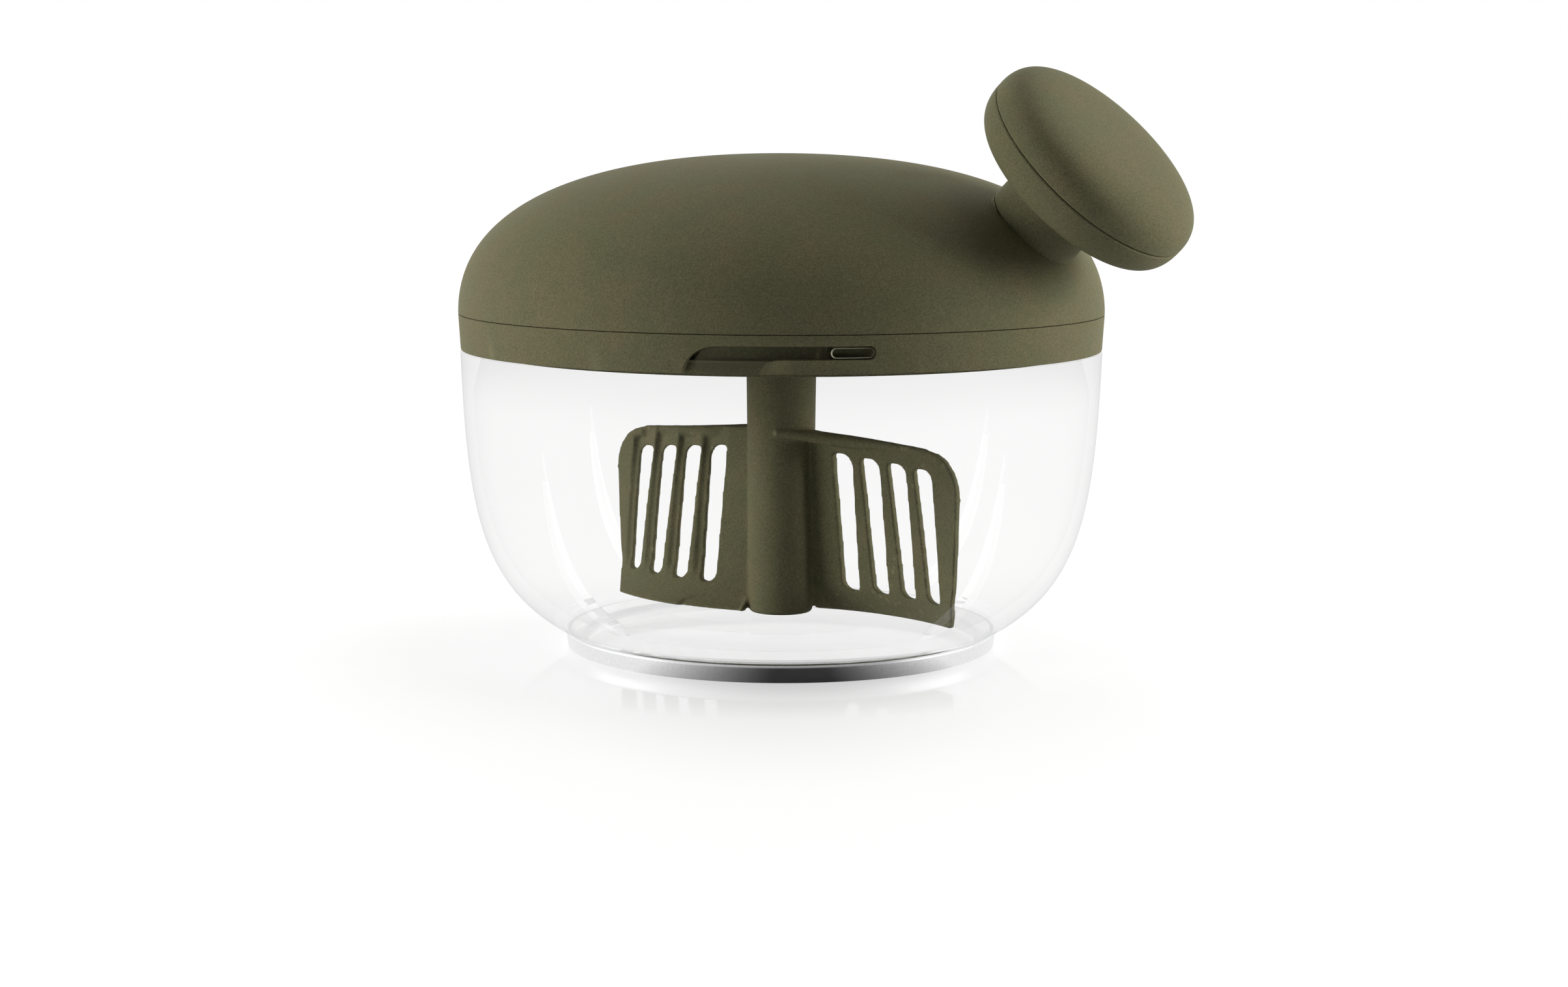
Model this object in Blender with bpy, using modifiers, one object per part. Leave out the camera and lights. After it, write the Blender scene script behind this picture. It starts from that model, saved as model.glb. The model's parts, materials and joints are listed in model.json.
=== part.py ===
"""Hand cranked food chopper.

A clear bowl stands on a soft foot ring. A lid turns onto it with a bayonet and carries a
domed crank. Under the dome an internal gear drives three planet gears and a sun gear, whose
spindle turns a mixing tool with two slotted blades. A knob turns freely on the dome.

Runs by itself: blender --background --python part.py
Sizes are in metres. +Z is up, and the origin is the centre of the foot on the table.
"""

import math

import bmesh
import bpy
from mathutils import Matrix, Vector

# Fits
SEAT_GAP = 0.0003            # between fixed pieces that lie against each other
RUN_GAP = 0.00025            # around a turning shaft
DECK_GAP = 0.0004            # under the lid's deck, where the dome's hook ring runs
PAST = 0.0010                # how far a cutter runs past a face

# Facets
BIG_FACETS = 40
MID_FACETS = 24
SMALL_FACETS = 12
SCREW_FACETS = 8

# Foot and bowl
FOOT_RADIUS = 0.0508
FOOT_BAND = 0.0042           # height of the foot ring that shows
FOOT_WALL = 0.0015
FOOT_SOLE = 0.0013
FOOT_WIDTH = 0.0053
FLOOR_RISE = 0.0021          # of the inside floor above the foot ring
FLOOR_WALL = 0.0030
FLOOR_INSET = 0.0048         # of the flat floor's edge inside the foot's outside
BOWL_HEIGHT = 0.0700         # up to the lid ring
BOWL_PROUD = 0.0001          # of the bowl's shoulder outside the lid ring's foot
BOWL_WALL = 0.0026
SIDE_PULL = (0.00117, 0.03612)   # inwards and down from the shoulder, for the wall's curve
LOW_PULL = (0.00397, 0.01146)    # inwards from the shoulder and up from the foot
ROOT_OUT = (0.00178, 0.00080)    # where the wall's curve starts, outside and above the foot
RIM_WALL = 0.0022
RIM_CLEARANCE = 0.0006       # under the lid's deck
SHOULDER_DROP = 0.0047       # from the shoulder down to where the inside wall is full width
RIB_DROP = 0.0160            # from the lid ring down to the ribs' upper ends
RIB_PLAY = 0.0006            # between the ribs and the blades' path
RIB_DEPTH = 0.0045
RIB_WIDTH = 0.0045
RIB_TIP_WIDTH = 0.0010
RIB_COUNT = 4
RIB_FIRST_AZIMUTH = -47.0    # degrees from +X
STUD_RADIUS = 0.0026
STUD_LENGTH = 0.0088

# Bayonet, with arc lengths along the outside of the lid ring from straight ahead (-Y)
LUG_COUNT = 3
LUG_LENGTH = 0.00935
LUG_HEIGHT = 0.0023
LUG_ARC = 0.01515
LUG_RISE = 0.00445           # of the lugs' middle above the lid ring's foot
LUG_SINK = 0.0003            # how far the lug's face stays behind the ring's outside
ENTRY_ARC = 0.0209
ENTRY_CURVE = 0.0075
TONGUE_CURVE = 0.0045

# Lid ring and lid
LID_RADIUS = 0.0750
LID_DRAFT = 0.0005           # the lid ring narrows by this much towards its foot
RING_HEIGHT = 0.0082
SKIRT_WALL = 0.0021
RIM_PLAY = 0.00035           # between the bowl's rim and the lid's skirt
DECK_WALL = 0.0016
PLUG_PLAY = 0.00165          # between the bowl's rim and the lid's inner skirt
PLUG_WALL = 0.0016
SEAL_HEIGHT = 0.0018
SEAL_GROOVE = 0.0008
SEAL_RISE = 0.0006           # above the inner skirt's lower edge
PLATE_WALL = 0.0018
PLATE_RISE = 0.0004          # of the gear plate's underside above the lid ring's foot
PLATE_SCREW_INSET = 0.0030   # from the inner skirt's inside
PLATE_BOSS_RADIUS = 0.0024
SKIRT_RIB_ARC = 0.0085
SKIRT_RIB_WIDTH = 0.0019
SKIRT_RIB_DEPTH = 0.0010

# Dome
DOME_HEIGHT = 0.03673        # above the lid ring
DOME_SIDE_PULL = 0.02444     # height above the lid ring that the wall's curve pulls towards
DOME_CROWN_PULL = 0.0287     # inset from the outside that the crown's curve pulls towards
DOME_WALL = 0.0024
DOME_EDGE_ROUND = 0.0006

# Gear train, as large as the room inside the hook ring's ears
EAR_PLAY = 0.00155           # between the ears and the internal gear's rim
SUN_TEETH = 15
PLANET_TEETH = 15            # odd, so a tooth faces the ring where a gap faces the sun
RING_TEETH = SUN_TEETH + 2 * PLANET_TEETH
PRESSURE_ANGLE = math.radians(20.0)
TOOTH_THINNING = 0.0003      # taken off each tooth's thickness, for backlash
ROOT_DEPTH = 1.25            # in modules
GEAR_WIDTH = 0.0060
GEAR_RISE = 0.0020           # of the gears' undersides above the gear plate
PLANET_COUNT = 3
PLANET_FIRST_AZIMUTH = 90.0
PLANET_PIN_RADIUS = 0.0020
PLANET_BOSS_RADIUS = 0.0040
PIN_SINK = 0.0010            # how deep a pin stands in the gear plate
RING_RIM_WALL = 0.0031
WEB_WALL = 0.0020
WEB_PLAY = 0.0002            # between the web and the spindle's clip
WEB_HUB_RADIUS = 0.0055
WEB_HUB_HEIGHT = 0.0040

# Hook ring, glide ring and dome screws
HOOK_OVERLAP = 0.0028
HOOK_WALL = 0.0014
HOOK_UPSTAND_WALL = 0.0020
HOOK_SIDE_GAP = 0.0006
HOOK_RUN = 0.0004            # between the hook ring and the lid's screw bosses
EAR_INSET = 0.0064           # of the ears' centres inside the upstand
EAR_RADIUS = 0.0036
EAR_HEIGHT = 0.0052
DOME_SCREW_FIRST_AZIMUTH = 27.0
DOME_SCREW_COUNT = 3
DOME_BOSS_RADIUS = 0.0032
DOME_SCREW_RADIUS = 0.00125
DOME_SCREW_BITE = 0.0090
PLATE_SCREW_RADIUS = 0.00105
SCREW_HEAD_HEIGHT = 0.0013
SCREW_HEAD_FACTOR = 2.0
GLIDE_OUTSET = 0.0075        # of the glide ring's outside from the deck's opening
GLIDE_WIDTH = 0.0030

# Spindle, bush and clip
SPINDLE_RADIUS = 0.0030
SPINDLE_PIVOT_RADIUS = 0.0022
SPINDLE_PIVOT_LENGTH = 0.0062
DRIVE_HEX = 0.0070           # across flats, in the tool
DRIVE_HEX_LENGTH = 0.0184
SUN_HEX = 0.0051             # across flats, in the sun gear
COLLAR_RADIUS = 0.0052
COLLAR_HEIGHT = 0.0007
BUSH_WALL = 0.0018
BUSH_FLANGE = 0.0013
BUSH_FLANGE_HEIGHT = 0.0007
PLATE_HUB_RADIUS = 0.0078
PLATE_HUB_HEIGHT = 0.0014
SUN_HUB_RADIUS = 0.0055
SUN_HUB_HEIGHT = 0.0006
CLIP_RADIUS = 0.0044
CLIP_HEIGHT = 0.0006
CLIP_OPENING = 50.0          # degrees

# Mixing tool
HUB_TOP_RADIUS = 0.00825
HUB_FOOT_RADIUS = 0.00750
HUB_FLOOR_PLAY = 0.0016      # between the tool and the bowl's floor
BLADE_AZIMUTH = -37.0        # degrees, the way the first blade points
BLADE_MARGIN = 0.0126        # from the blade's outer edge to the bowl's wall
BLADE_LOW_MARGIN = 0.0030    # from the blade's lower corner to the bowl's wall
BLADE_CORNER = 0.0100        # radius of the upper outer corner
BLADE_DROP = 0.0166          # from the hub's top down to the blade's top edge
BLADE_TOP_SLOPE = 0.070      # how fast the top edge falls outwards
BLADE_WALL = 0.0019
BLADE_BELLY_LOW = 0.0049     # sideways bulge near the slots' lower ends
BLADE_BELLY_HIGH = 0.0020    # and near their upper ends
BELLY_MIDDLE = 0.0210
BELLY_SPREAD = 0.0240
SWEEP_RISE = 0.0081          # below this the blade sweeps back into its wiping edge
SWEEP_DEPTH = 0.0047
SLOT_COUNT = 4
SLOT_TOP_DROP = 0.0053       # from the blade's top edge
SLOT_BOTTOM_RISE = 0.0057    # from the hub's foot
SLOT_TOP_FIRST = 0.0168
SLOT_TOP_LAST = 0.0110       # of the last slot from the blade's outer edge, at its upper end
SLOT_BOTTOM_FIRST = 0.0177
SLOT_BOTTOM_LAST = 0.0071    # and at its lower end
SLOT_TOP_WIDTH = 0.0053
SLOT_BOTTOM_WIDTH = 0.0044
SLOT_TOP_FALL = 0.0006       # each slot starts lower than the one inside it
LIP_RADIUS = 0.0014
LIP_START = 0.0045
LIP_LENGTH = 0.0225
LIP_SETBACK = 0.0058
LIP_FORWARD = 0.0011

# Knob, along its own axis from its seat on the dome
KNOB_PLACE_INSET = 0.00989   # from the dome's outside
KNOB_SEAT_LIFT = 0.00096     # of the neck's centre above the dome's surface
KNOB_PLACE_AZIMUTH = -29.98
KNOB_AXIS_AZIMUTH = -32.87
KNOB_AXIS_TILT = 44.14       # degrees above level
NECK_RADIUS = 0.01119
NECK_TOP_RADIUS = 0.01298
NECK_HEIGHT = 0.00849
KNOB_RADIUS = 0.02678
KNOB_PARTING = 0.01816
KNOB_HEIGHT = 0.02732
KNOB_UNDER_PULL = 0.01027
KNOB_EDGE_PULL = 0.00652
KNOB_CAP_EDGE_PULL = 0.00875
KNOB_CAP_CROWN_PULL = 0.01795
KNOB_WALL = 0.0022
KNOB_SEAM = 0.0002
KNOB_PLUG = 0.0016           # how deep the cap reaches into the base
KNOB_PLUG_WALL = 0.0014
AXLE_RADIUS = 0.0030
AXLE_HEAD_RADIUS = 0.0054
AXLE_HEAD_HEIGHT = 0.0022
KNOB_BUSH_WALL = 0.0012
KNOB_BUSH_LENGTH = 0.0137
KNOB_BUSH_FLANGE = 0.0018
KNOB_BUSH_FLANGE_HEIGHT = 0.0010
KNOB_BOSS_WALL = 0.0020
WASHER_RADIUS = 0.0062
WASHER_WALL = 0.0008
AXLE_SCREW_RADIUS = 0.00135
AXLE_SCREW_LENGTH = 0.0080
DOME_KNOB_BOSS_RADIUS = 0.0062
DOME_KNOB_BOSS_DEPTH = 0.0095

# Colours
OLIVE = (0.128, 0.122, 0.064)
CLEAR = (0.93, 0.94, 0.94)
FOOT_GREY = (0.60, 0.60, 0.60)
SEAL_GREY = (0.45, 0.45, 0.42)
GEAR_WHITE = (0.80, 0.79, 0.75)
PLATE_OLIVE = (0.105, 0.100, 0.055)
STEEL = (0.60, 0.60, 0.61)
BRONZE = (0.50, 0.34, 0.18)


def start_clean():
    """Remove what the startup file holds."""
    for obj in list(bpy.data.objects):
        bpy.data.objects.remove(obj, do_unlink=True)


def new_collection(name):
    """Make a collection in the scene."""
    group = bpy.data.collections.new(name)
    bpy.context.scene.collection.children.link(group)
    return group


start_clean()
PARTS = new_collection("food_chopper")
CUTTERS = new_collection("food_chopper_cutters")


def finish_material(name, colour, roughness, metallic=0.0, alpha=1.0):
    """A Principled material for one sub-part."""
    material = bpy.data.materials.new(name)
    material.use_nodes = True
    shader = material.node_tree.nodes["Principled BSDF"]
    shader.inputs["Base Color"].default_value = (*colour, 1.0)
    shader.inputs["Roughness"].default_value = roughness
    shader.inputs["Metallic"].default_value = metallic
    shader.inputs["Alpha"].default_value = alpha
    material.diffuse_color = (*colour, alpha)
    return material


def add_object(name, mesh, parent=None, matrix=None, material=None):
    """Put a mesh into the model, or into the cutters when it has no material."""
    obj = bpy.data.objects.new(name, mesh)
    if material is None:
        CUTTERS.objects.link(obj)
        obj.hide_render = True
        obj.display_type = "WIRE"
    else:
        PARTS.objects.link(obj)
        mesh.materials.append(material)
    obj.parent = parent
    if matrix is not None:
        obj.matrix_local = matrix
    return obj


def pivot(name, parent=None, matrix=None):
    """An empty on a joint's axis."""
    empty = bpy.data.objects.new(name, None)
    PARTS.objects.link(empty)
    empty.parent = parent
    if matrix is not None:
        empty.matrix_local = matrix
    return empty


def turn_z(degrees):
    """A turn about Z."""
    return Matrix.Rotation(math.radians(degrees), 4, "Z")


def facing_out(degrees):
    """Local X runs round the axis, local Y up and local Z outwards, at this azimuth."""
    angle = math.radians(degrees)
    matrix = Matrix.Identity(4)
    matrix.col[0] = (-math.sin(angle), math.cos(angle), 0.0, 0.0)
    matrix.col[1] = (0.0, 0.0, 1.0, 0.0)
    matrix.col[2] = (math.cos(angle), math.sin(angle), 0.0, 0.0)
    return matrix


def bezier(start, pull_a, pull_b, end, steps):
    """Points along a cubic curve, both ends included."""
    points = []
    for index in range(steps + 1):
        t = index / steps
        s = 1.0 - t
        weights = (s ** 3, 3 * s * s * t, 3 * s * t * t, t ** 3)
        sources = (start, pull_a, pull_b, end)
        points.append(tuple(sum(w * p[axis] for w, p in zip(weights, sources)) for axis in (0, 1)))
    return points


def radius_on_curve(curve, height):
    """The radius of a profile at a height."""
    for (r0, z0), (r1, z1) in zip(curve, curve[1:]):
        if min(z0, z1) <= height <= max(z0, z1) and z0 != z1:
            return r0 + (r1 - r0) * (height - z0) / (z1 - z0)
    return curve[-1][0]


def height_on_curve(curve, radius):
    """The height of a profile at a radius."""
    return radius_on_curve([(z, r) for r, z in curve], radius)


def turned(name, profile, facets, closed=True, parent=None, matrix=None, material=None):
    """A turned shape. The profile of (radius, height) runs down its outer side."""
    mesh = bpy.data.meshes.new(name)
    count = len(profile)
    edges = [(i, i + 1) for i in range(count - 1)]
    if closed:
        edges.append((count - 1, 0))
    mesh.from_pydata([(r, 0.0, z) for r, z in profile], edges, [])
    obj = add_object(name, mesh, parent, matrix, material)
    screw = obj.modifiers.new("turned", "SCREW")
    screw.axis = "Z"
    screw.angle = math.tau
    screw.steps = facets
    screw.render_steps = facets
    screw.use_merge_vertices = True
    screw.merge_threshold = 0.00001
    screw.use_smooth_shade = True
    return obj


def prism(name, outline, low, high, parent=None, matrix=None, material=None):
    """A flat outline in local XY, extruded along local Z from low to high."""
    shape = bmesh.new()
    corners = [shape.verts.new((x, y, low)) for x, y in outline]
    shape.faces.new(corners)
    grown = bmesh.ops.extrude_face_region(shape, geom=shape.faces[:])
    risen = [item for item in grown["geom"] if isinstance(item, bmesh.types.BMVert)]
    bmesh.ops.translate(shape, verts=risen, vec=(0.0, 0.0, high - low))
    bmesh.ops.recalc_face_normals(shape, faces=shape.faces[:])
    mesh = bpy.data.meshes.new(name)
    shape.to_mesh(mesh)
    shape.free()
    return add_object(name, mesh, parent, matrix, material)


def loft(name, rings, parent=None, matrix=None, material=None):
    """A closed skin over unlike sections that all have the same number of corners."""
    shape = bmesh.new()
    loops = [[shape.verts.new(point) for point in ring] for ring in rings]
    count = len(loops[0])
    for near, far in zip(loops, loops[1:]):
        for i in range(count):
            j = (i + 1) % count
            shape.faces.new((near[i], near[j], far[j], far[i]))
    shape.faces.new(loops[0])
    shape.faces.new(loops[-1])
    bmesh.ops.recalc_face_normals(shape, faces=shape.faces[:])
    mesh = bpy.data.meshes.new(name)
    shape.to_mesh(mesh)
    shape.free()
    return add_object(name, mesh, parent, matrix, material)


def rod(name, radius, low, high, facets, parent=None, matrix=None, material=None):
    """A plain cylinder along local Z. Its corners stay off the lines that it stands on."""
    shape = bmesh.new()
    bmesh.ops.create_cone(shape, cap_ends=True, segments=facets, radius1=radius, radius2=radius,
                          depth=high - low)
    bmesh.ops.rotate(shape, verts=shape.verts[:], matrix=Matrix.Rotation(math.pi / facets / 2, 3, "Z"))
    bmesh.ops.translate(shape, verts=shape.verts[:], vec=(0.0, 0.0, (high + low) / 2))
    mesh = bpy.data.meshes.new(name)
    shape.to_mesh(mesh)
    shape.free()
    return add_object(name, mesh, parent, matrix, material)


def hexagon(across_flats):
    """Corners of a hexagon."""
    radius = across_flats / math.sqrt(3.0)
    return [(radius * math.cos(math.radians(60 * k)), radius * math.sin(math.radians(60 * k)))
            for k in range(6)]


def stadium(length, height, middle, steps=5):
    """A slot outline with half-round ends, centred on (x, y) = middle."""
    end = height / 2
    points = []
    for side in (1, -1):
        for k in range(steps + 1):
            angle = math.radians(-90 + 180 * k / steps + (0 if side == 1 else 180))
            points.append((middle[0] + side * (length / 2 - end) + end * math.cos(angle),
                           middle[1] + end * math.sin(angle)))
    return points


def boolean(target, tool, operation):
    """Join or cut two objects with a live modifier."""
    step = target.modifiers.new(tool.name, "BOOLEAN")
    step.operation = operation
    step.solver = "EXACT"
    step.object = tool
    return step


def cut(target, tool):
    """Take the tool away from the target."""
    boolean(target, tool, "DIFFERENCE")


def fuse(target, tool):
    """Join the tool to the target."""
    boolean(target, tool, "UNION")


# Heights and radii that follow from the sizes above
RING_BOTTOM = BOWL_HEIGHT
RING_TOP = RING_BOTTOM + RING_HEIGHT
DECK_UNDERSIDE = RING_TOP - DECK_WALL
LUG_MIDDLE = RING_BOTTOM + LUG_RISE
CHANNEL_BOTTOM = LUG_MIDDLE - LUG_HEIGHT / 2 - SEAT_GAP
CHANNEL_TOP = LUG_MIDDLE + LUG_HEIGHT / 2 + SEAT_GAP
LID_FOOT_RADIUS = LID_RADIUS - LID_DRAFT
BOWL_RADIUS = LID_FOOT_RADIUS + BOWL_PROUD
RIM_RADIUS = LID_FOOT_RADIUS - SKIRT_WALL - RIM_PLAY
RIM_INNER = RIM_RADIUS - RIM_WALL
RIM_TOP = DECK_UNDERSIDE - RIM_CLEARANCE
PLUG_RADIUS = RIM_INNER - PLUG_PLAY
PLUG_INNER = PLUG_RADIUS - PLUG_WALL
PLATE_RADIUS = PLUG_INNER - SEAT_GAP
PLATE_SCREW_CIRCLE = PLUG_INNER - PLATE_SCREW_INSET
PLATE_BOTTOM = RING_BOTTOM + PLATE_RISE
PLATE_TOP = PLATE_BOTTOM + PLATE_WALL
GROOVE_BOTTOM = PLATE_BOTTOM + SEAL_RISE
HOOK_RADIUS = PLATE_SCREW_CIRCLE - PLATE_BOSS_RADIUS - HOOK_RUN
DECK_INNER_RADIUS = HOOK_RADIUS - HOOK_OVERLAP
UPSTAND_RADIUS = DECK_INNER_RADIUS - HOOK_SIDE_GAP
EAR_CIRCLE = UPSTAND_RADIUS - EAR_INSET
GLIDE_RADIUS = DECK_INNER_RADIUS + GLIDE_OUTSET

# Bowl
FLOOR_TOP = FOOT_BAND + FLOOR_RISE
FLOOR_RADIUS = FOOT_RADIUS - FLOOR_INSET
BOWL_LEDGE = FOOT_BAND + SEAT_GAP
SHOULDER_TOP = RING_BOTTOM - SEAT_GAP
SHOULDER_EDGE = 0.0004
CURVE_TOP = SHOULDER_TOP - SHOULDER_EDGE
HIGH_PULL_POINT = (BOWL_RADIUS - SIDE_PULL[0], CURVE_TOP - SIDE_PULL[1])
LOW_PULL_POINT = (BOWL_RADIUS - LOW_PULL[0], BOWL_LEDGE + LOW_PULL[1])
BOWL_OUTSIDE = bezier((BOWL_RADIUS, CURVE_TOP), HIGH_PULL_POINT, LOW_PULL_POINT,
                      (FOOT_RADIUS + ROOT_OUT[0], BOWL_LEDGE + ROOT_OUT[1]), 7)
INSIDE_TOP = SHOULDER_TOP - SHOULDER_DROP
BOWL_INSIDE = bezier((FLOOR_RADIUS, FLOOR_TOP),
                     (LOW_PULL_POINT[0] - BOWL_WALL + SEAT_GAP, LOW_PULL_POINT[1] + SEAT_GAP),
                     (HIGH_PULL_POINT[0] - BOWL_WALL, HIGH_PULL_POINT[1]),
                     (BOWL_RADIUS - BOWL_WALL, INSIDE_TOP), 6)
RIB_TOP = RING_BOTTOM - RIB_DROP

# Gear train
RING_OUTER_RADIUS = EAR_CIRCLE - EAR_RADIUS - EAR_PLAY
RING_ROOT_RADIUS = RING_OUTER_RADIUS - RING_RIM_WALL
MODULE = RING_ROOT_RADIUS / (RING_TEETH / 2 + ROOT_DEPTH)
RING_PITCH_RADIUS = MODULE * RING_TEETH / 2
PLANET_CIRCLE = MODULE * (SUN_TEETH + PLANET_TEETH) / 2
GEAR_FLOOR = PLATE_TOP + GEAR_RISE
GEAR_TOP = GEAR_FLOOR + GEAR_WIDTH
PLANET_BOSS_TOP = GEAR_FLOOR - SEAT_GAP
SUN_TOP = GEAR_TOP + SUN_HUB_HEIGHT
SPINDLE_PIVOT_BOTTOM = SUN_TOP + 0.0001
CLIP_BOTTOM = SPINDLE_PIVOT_BOTTOM + SEAT_GAP
CLIP_TOP = CLIP_BOTTOM + CLIP_HEIGHT
WEB_UNDERSIDE = CLIP_TOP + WEB_PLAY
WEB_TOP = WEB_UNDERSIDE + WEB_WALL
PIN_TOP = WEB_UNDERSIDE - 0.0005

# Dome
DOME_BOTTOM = RING_TOP + SEAT_GAP
DOME_TOP = RING_TOP + DOME_HEIGHT
DOME_SHOULDER = RING_TOP + DOME_SIDE_PULL
DOME_CROWN_RADIUS = LID_RADIUS - DOME_CROWN_PULL
DOME_OUTSIDE = bezier((LID_RADIUS, DOME_BOTTOM + DOME_EDGE_ROUND), (LID_RADIUS, DOME_SHOULDER),
                      (DOME_CROWN_RADIUS, DOME_TOP), (0.0, DOME_TOP), 7)
DOME_INSIDE = bezier((LID_RADIUS - DOME_WALL, DOME_BOTTOM - 2 * PAST),
                     (LID_RADIUS - DOME_WALL, DOME_SHOULDER - DOME_WALL * 0.6),
                     (DOME_CROWN_RADIUS - DOME_WALL * 0.4, DOME_TOP - DOME_WALL),
                     (0.0, DOME_TOP - DOME_WALL), 5)
WEB_RADIUS = radius_on_curve(DOME_INSIDE, WEB_TOP) - SEAT_GAP
HOOK_TOP = DECK_UNDERSIDE - DECK_GAP
HOOK_BOTTOM = HOOK_TOP - HOOK_WALL
UPSTAND_TOP = WEB_UNDERSIDE - SEAT_GAP
EAR_BOTTOM = UPSTAND_TOP - EAR_HEIGHT

# Spindle and mixing tool
BUSH_BORE = SPINDLE_RADIUS + RUN_GAP
BUSH_RADIUS = BUSH_BORE + BUSH_WALL
BUSH_FLANGE_TOP = PLATE_BOTTOM - SEAT_GAP
BUSH_FLANGE_BOTTOM = BUSH_FLANGE_TOP - BUSH_FLANGE_HEIGHT
BUSH_TOP = GEAR_FLOOR - SEAT_GAP
COLLAR_TOP = BUSH_FLANGE_BOTTOM - SEAT_GAP
COLLAR_BOTTOM = COLLAR_TOP - COLLAR_HEIGHT
DRIVE_HEX_BOTTOM = COLLAR_BOTTOM - DRIVE_HEX_LENGTH
HUB_TOP = COLLAR_BOTTOM - SEAT_GAP
HUB_BOTTOM = FLOOR_TOP + HUB_FLOOR_PLAY
BLADE_TOP = HUB_TOP - BLADE_DROP
SWEEP_TOP = HUB_BOTTOM + SWEEP_RISE
BLADE_SIDE = SWEEP_TOP + 0.0050
BLADE_EDGE = HUB_BOTTOM + 0.0002
BLADE_REACH = radius_on_curve(BOWL_INSIDE, BLADE_SIDE) - BLADE_MARGIN
BLADE_LOW_REACH = radius_on_curve(BOWL_INSIDE, BLADE_EDGE) - BLADE_LOW_MARGIN
SLOT_TOP = BLADE_TOP - SLOT_TOP_DROP
SLOT_BOTTOM = HUB_BOTTOM + SLOT_BOTTOM_RISE

# Knob
KNOB_PLACE_RADIUS = LID_RADIUS - KNOB_PLACE_INSET
KNOB_PLACE_HEIGHT = height_on_curve(DOME_OUTSIDE, KNOB_PLACE_RADIUS) + KNOB_SEAT_LIFT
KNOB_BASE_BORE = AXLE_RADIUS + RUN_GAP + KNOB_BUSH_WALL + SEAT_GAP
KNOB_BOSS_TOP = KNOB_BUSH_LENGTH + SEAT_GAP
AXLE_END = KNOB_BOSS_TOP + SEAT_GAP + KNOB_BUSH_FLANGE_HEIGHT


def bayonet_azimuth(arc, index=0):
    """Degrees from +X for an arc length round the lid ring, for one of the lugs."""
    return -90.0 + math.degrees(arc / LID_FOOT_RADIUS) + 360.0 / LUG_COUNT * index


# Bowl and foot
def make_bowl(parent):
    """Clear bowl: turned wall, stepped rim with bayonet lugs, inner ribs and a pivot stud."""
    foot_radius = FOOT_RADIUS - FOOT_WALL - SEAT_GAP
    foot_inner = FOOT_RADIUS - FOOT_WIDTH + FOOT_WALL * 0.6
    profile = [(0.0, FLOOR_TOP)]
    profile += BOWL_INSIDE
    profile += [(RIM_INNER, SHOULDER_TOP - SHOULDER_DROP * 0.42),
                (RIM_INNER, RIM_TOP - 0.0004),
                (RIM_INNER + 0.0006, RIM_TOP),
                (RIM_RADIUS, RIM_TOP),
                (RIM_RADIUS, SHOULDER_TOP),
                (BOWL_RADIUS - SHOULDER_EDGE, SHOULDER_TOP)]
    profile += BOWL_OUTSIDE
    profile += [(FOOT_RADIUS + 0.0004, BOWL_LEDGE + 0.0003),
                (FOOT_RADIUS, BOWL_LEDGE),
                (foot_radius, BOWL_LEDGE),
                (foot_radius, FOOT_SOLE + SEAT_GAP),
                (foot_inner, FOOT_SOLE + SEAT_GAP),
                (foot_inner, FLOOR_TOP - FLOOR_WALL),
                (0.0, FLOOR_TOP - FLOOR_WALL)]
    clear = finish_material("bowl_clear", CLEAR, 0.03, alpha=0.3)
    bowl = turned("bowl", profile, BIG_FACETS, closed=False, parent=parent, material=clear)
    stud = turned("bowl_stud", [(0.0, FLOOR_TOP + STUD_LENGTH),
                                (STUD_RADIUS * 0.6, FLOOR_TOP + STUD_LENGTH - 0.0004),
                                (STUD_RADIUS * 0.9, FLOOR_TOP + STUD_LENGTH - 0.0016),
                                (STUD_RADIUS, FLOOR_TOP + 0.0010),
                                (STUD_RADIUS + 0.0006, FLOOR_TOP - FLOOR_WALL / 2),
                                (0.0, FLOOR_TOP - FLOOR_WALL / 2)],
                  SMALL_FACETS, closed=False)
    fuse(bowl, stud)
    for index in range(RIB_COUNT):
        fuse(bowl, make_bowl_rib(index))
    for index in range(LUG_COUNT):
        outline = stadium(LUG_LENGTH, LUG_HEIGHT, (0.0, LUG_MIDDLE))
        lug = prism(f"bowl_lug_{index + 1}", outline, RIM_RADIUS - RIM_WALL / 2,
                    LID_FOOT_RADIUS - LUG_SINK, matrix=facing_out(bayonet_azimuth(LUG_ARC, index)))
        fuse(bowl, lug)
    return bowl


def make_bowl_rib(index):
    """A rib that grows out of the bowl's wall and widens towards the floor."""
    rings = []
    levels = 8
    rib_foot = FLOOR_TOP - FLOOR_WALL * 0.3
    for k in range(levels + 1):
        share = k / levels
        height = RIB_TOP + (rib_foot - RIB_TOP) * share
        wall = radius_on_curve(BOWL_INSIDE, max(height, FLOOR_TOP + 0.0002))
        clear = blade_path_radius(height) + RIB_PLAY
        inner = max(wall - RIB_DEPTH * share ** 0.8 + 0.0002 * (1.0 - share), clear)
        outer = wall + BOWL_WALL * 0.4
        half = (RIB_TIP_WIDTH + (RIB_WIDTH - RIB_TIP_WIDTH) * share) / 2
        rings.append([(inner, -half * 0.6, height), (outer, -half, height),
                      (outer, half, height), (inner, half * 0.6, height)])
    azimuth = RIB_FIRST_AZIMUTH + 360.0 / RIB_COUNT * index
    return loft(f"bowl_rib_{index + 1}", rings, matrix=turn_z(azimuth))


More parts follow.
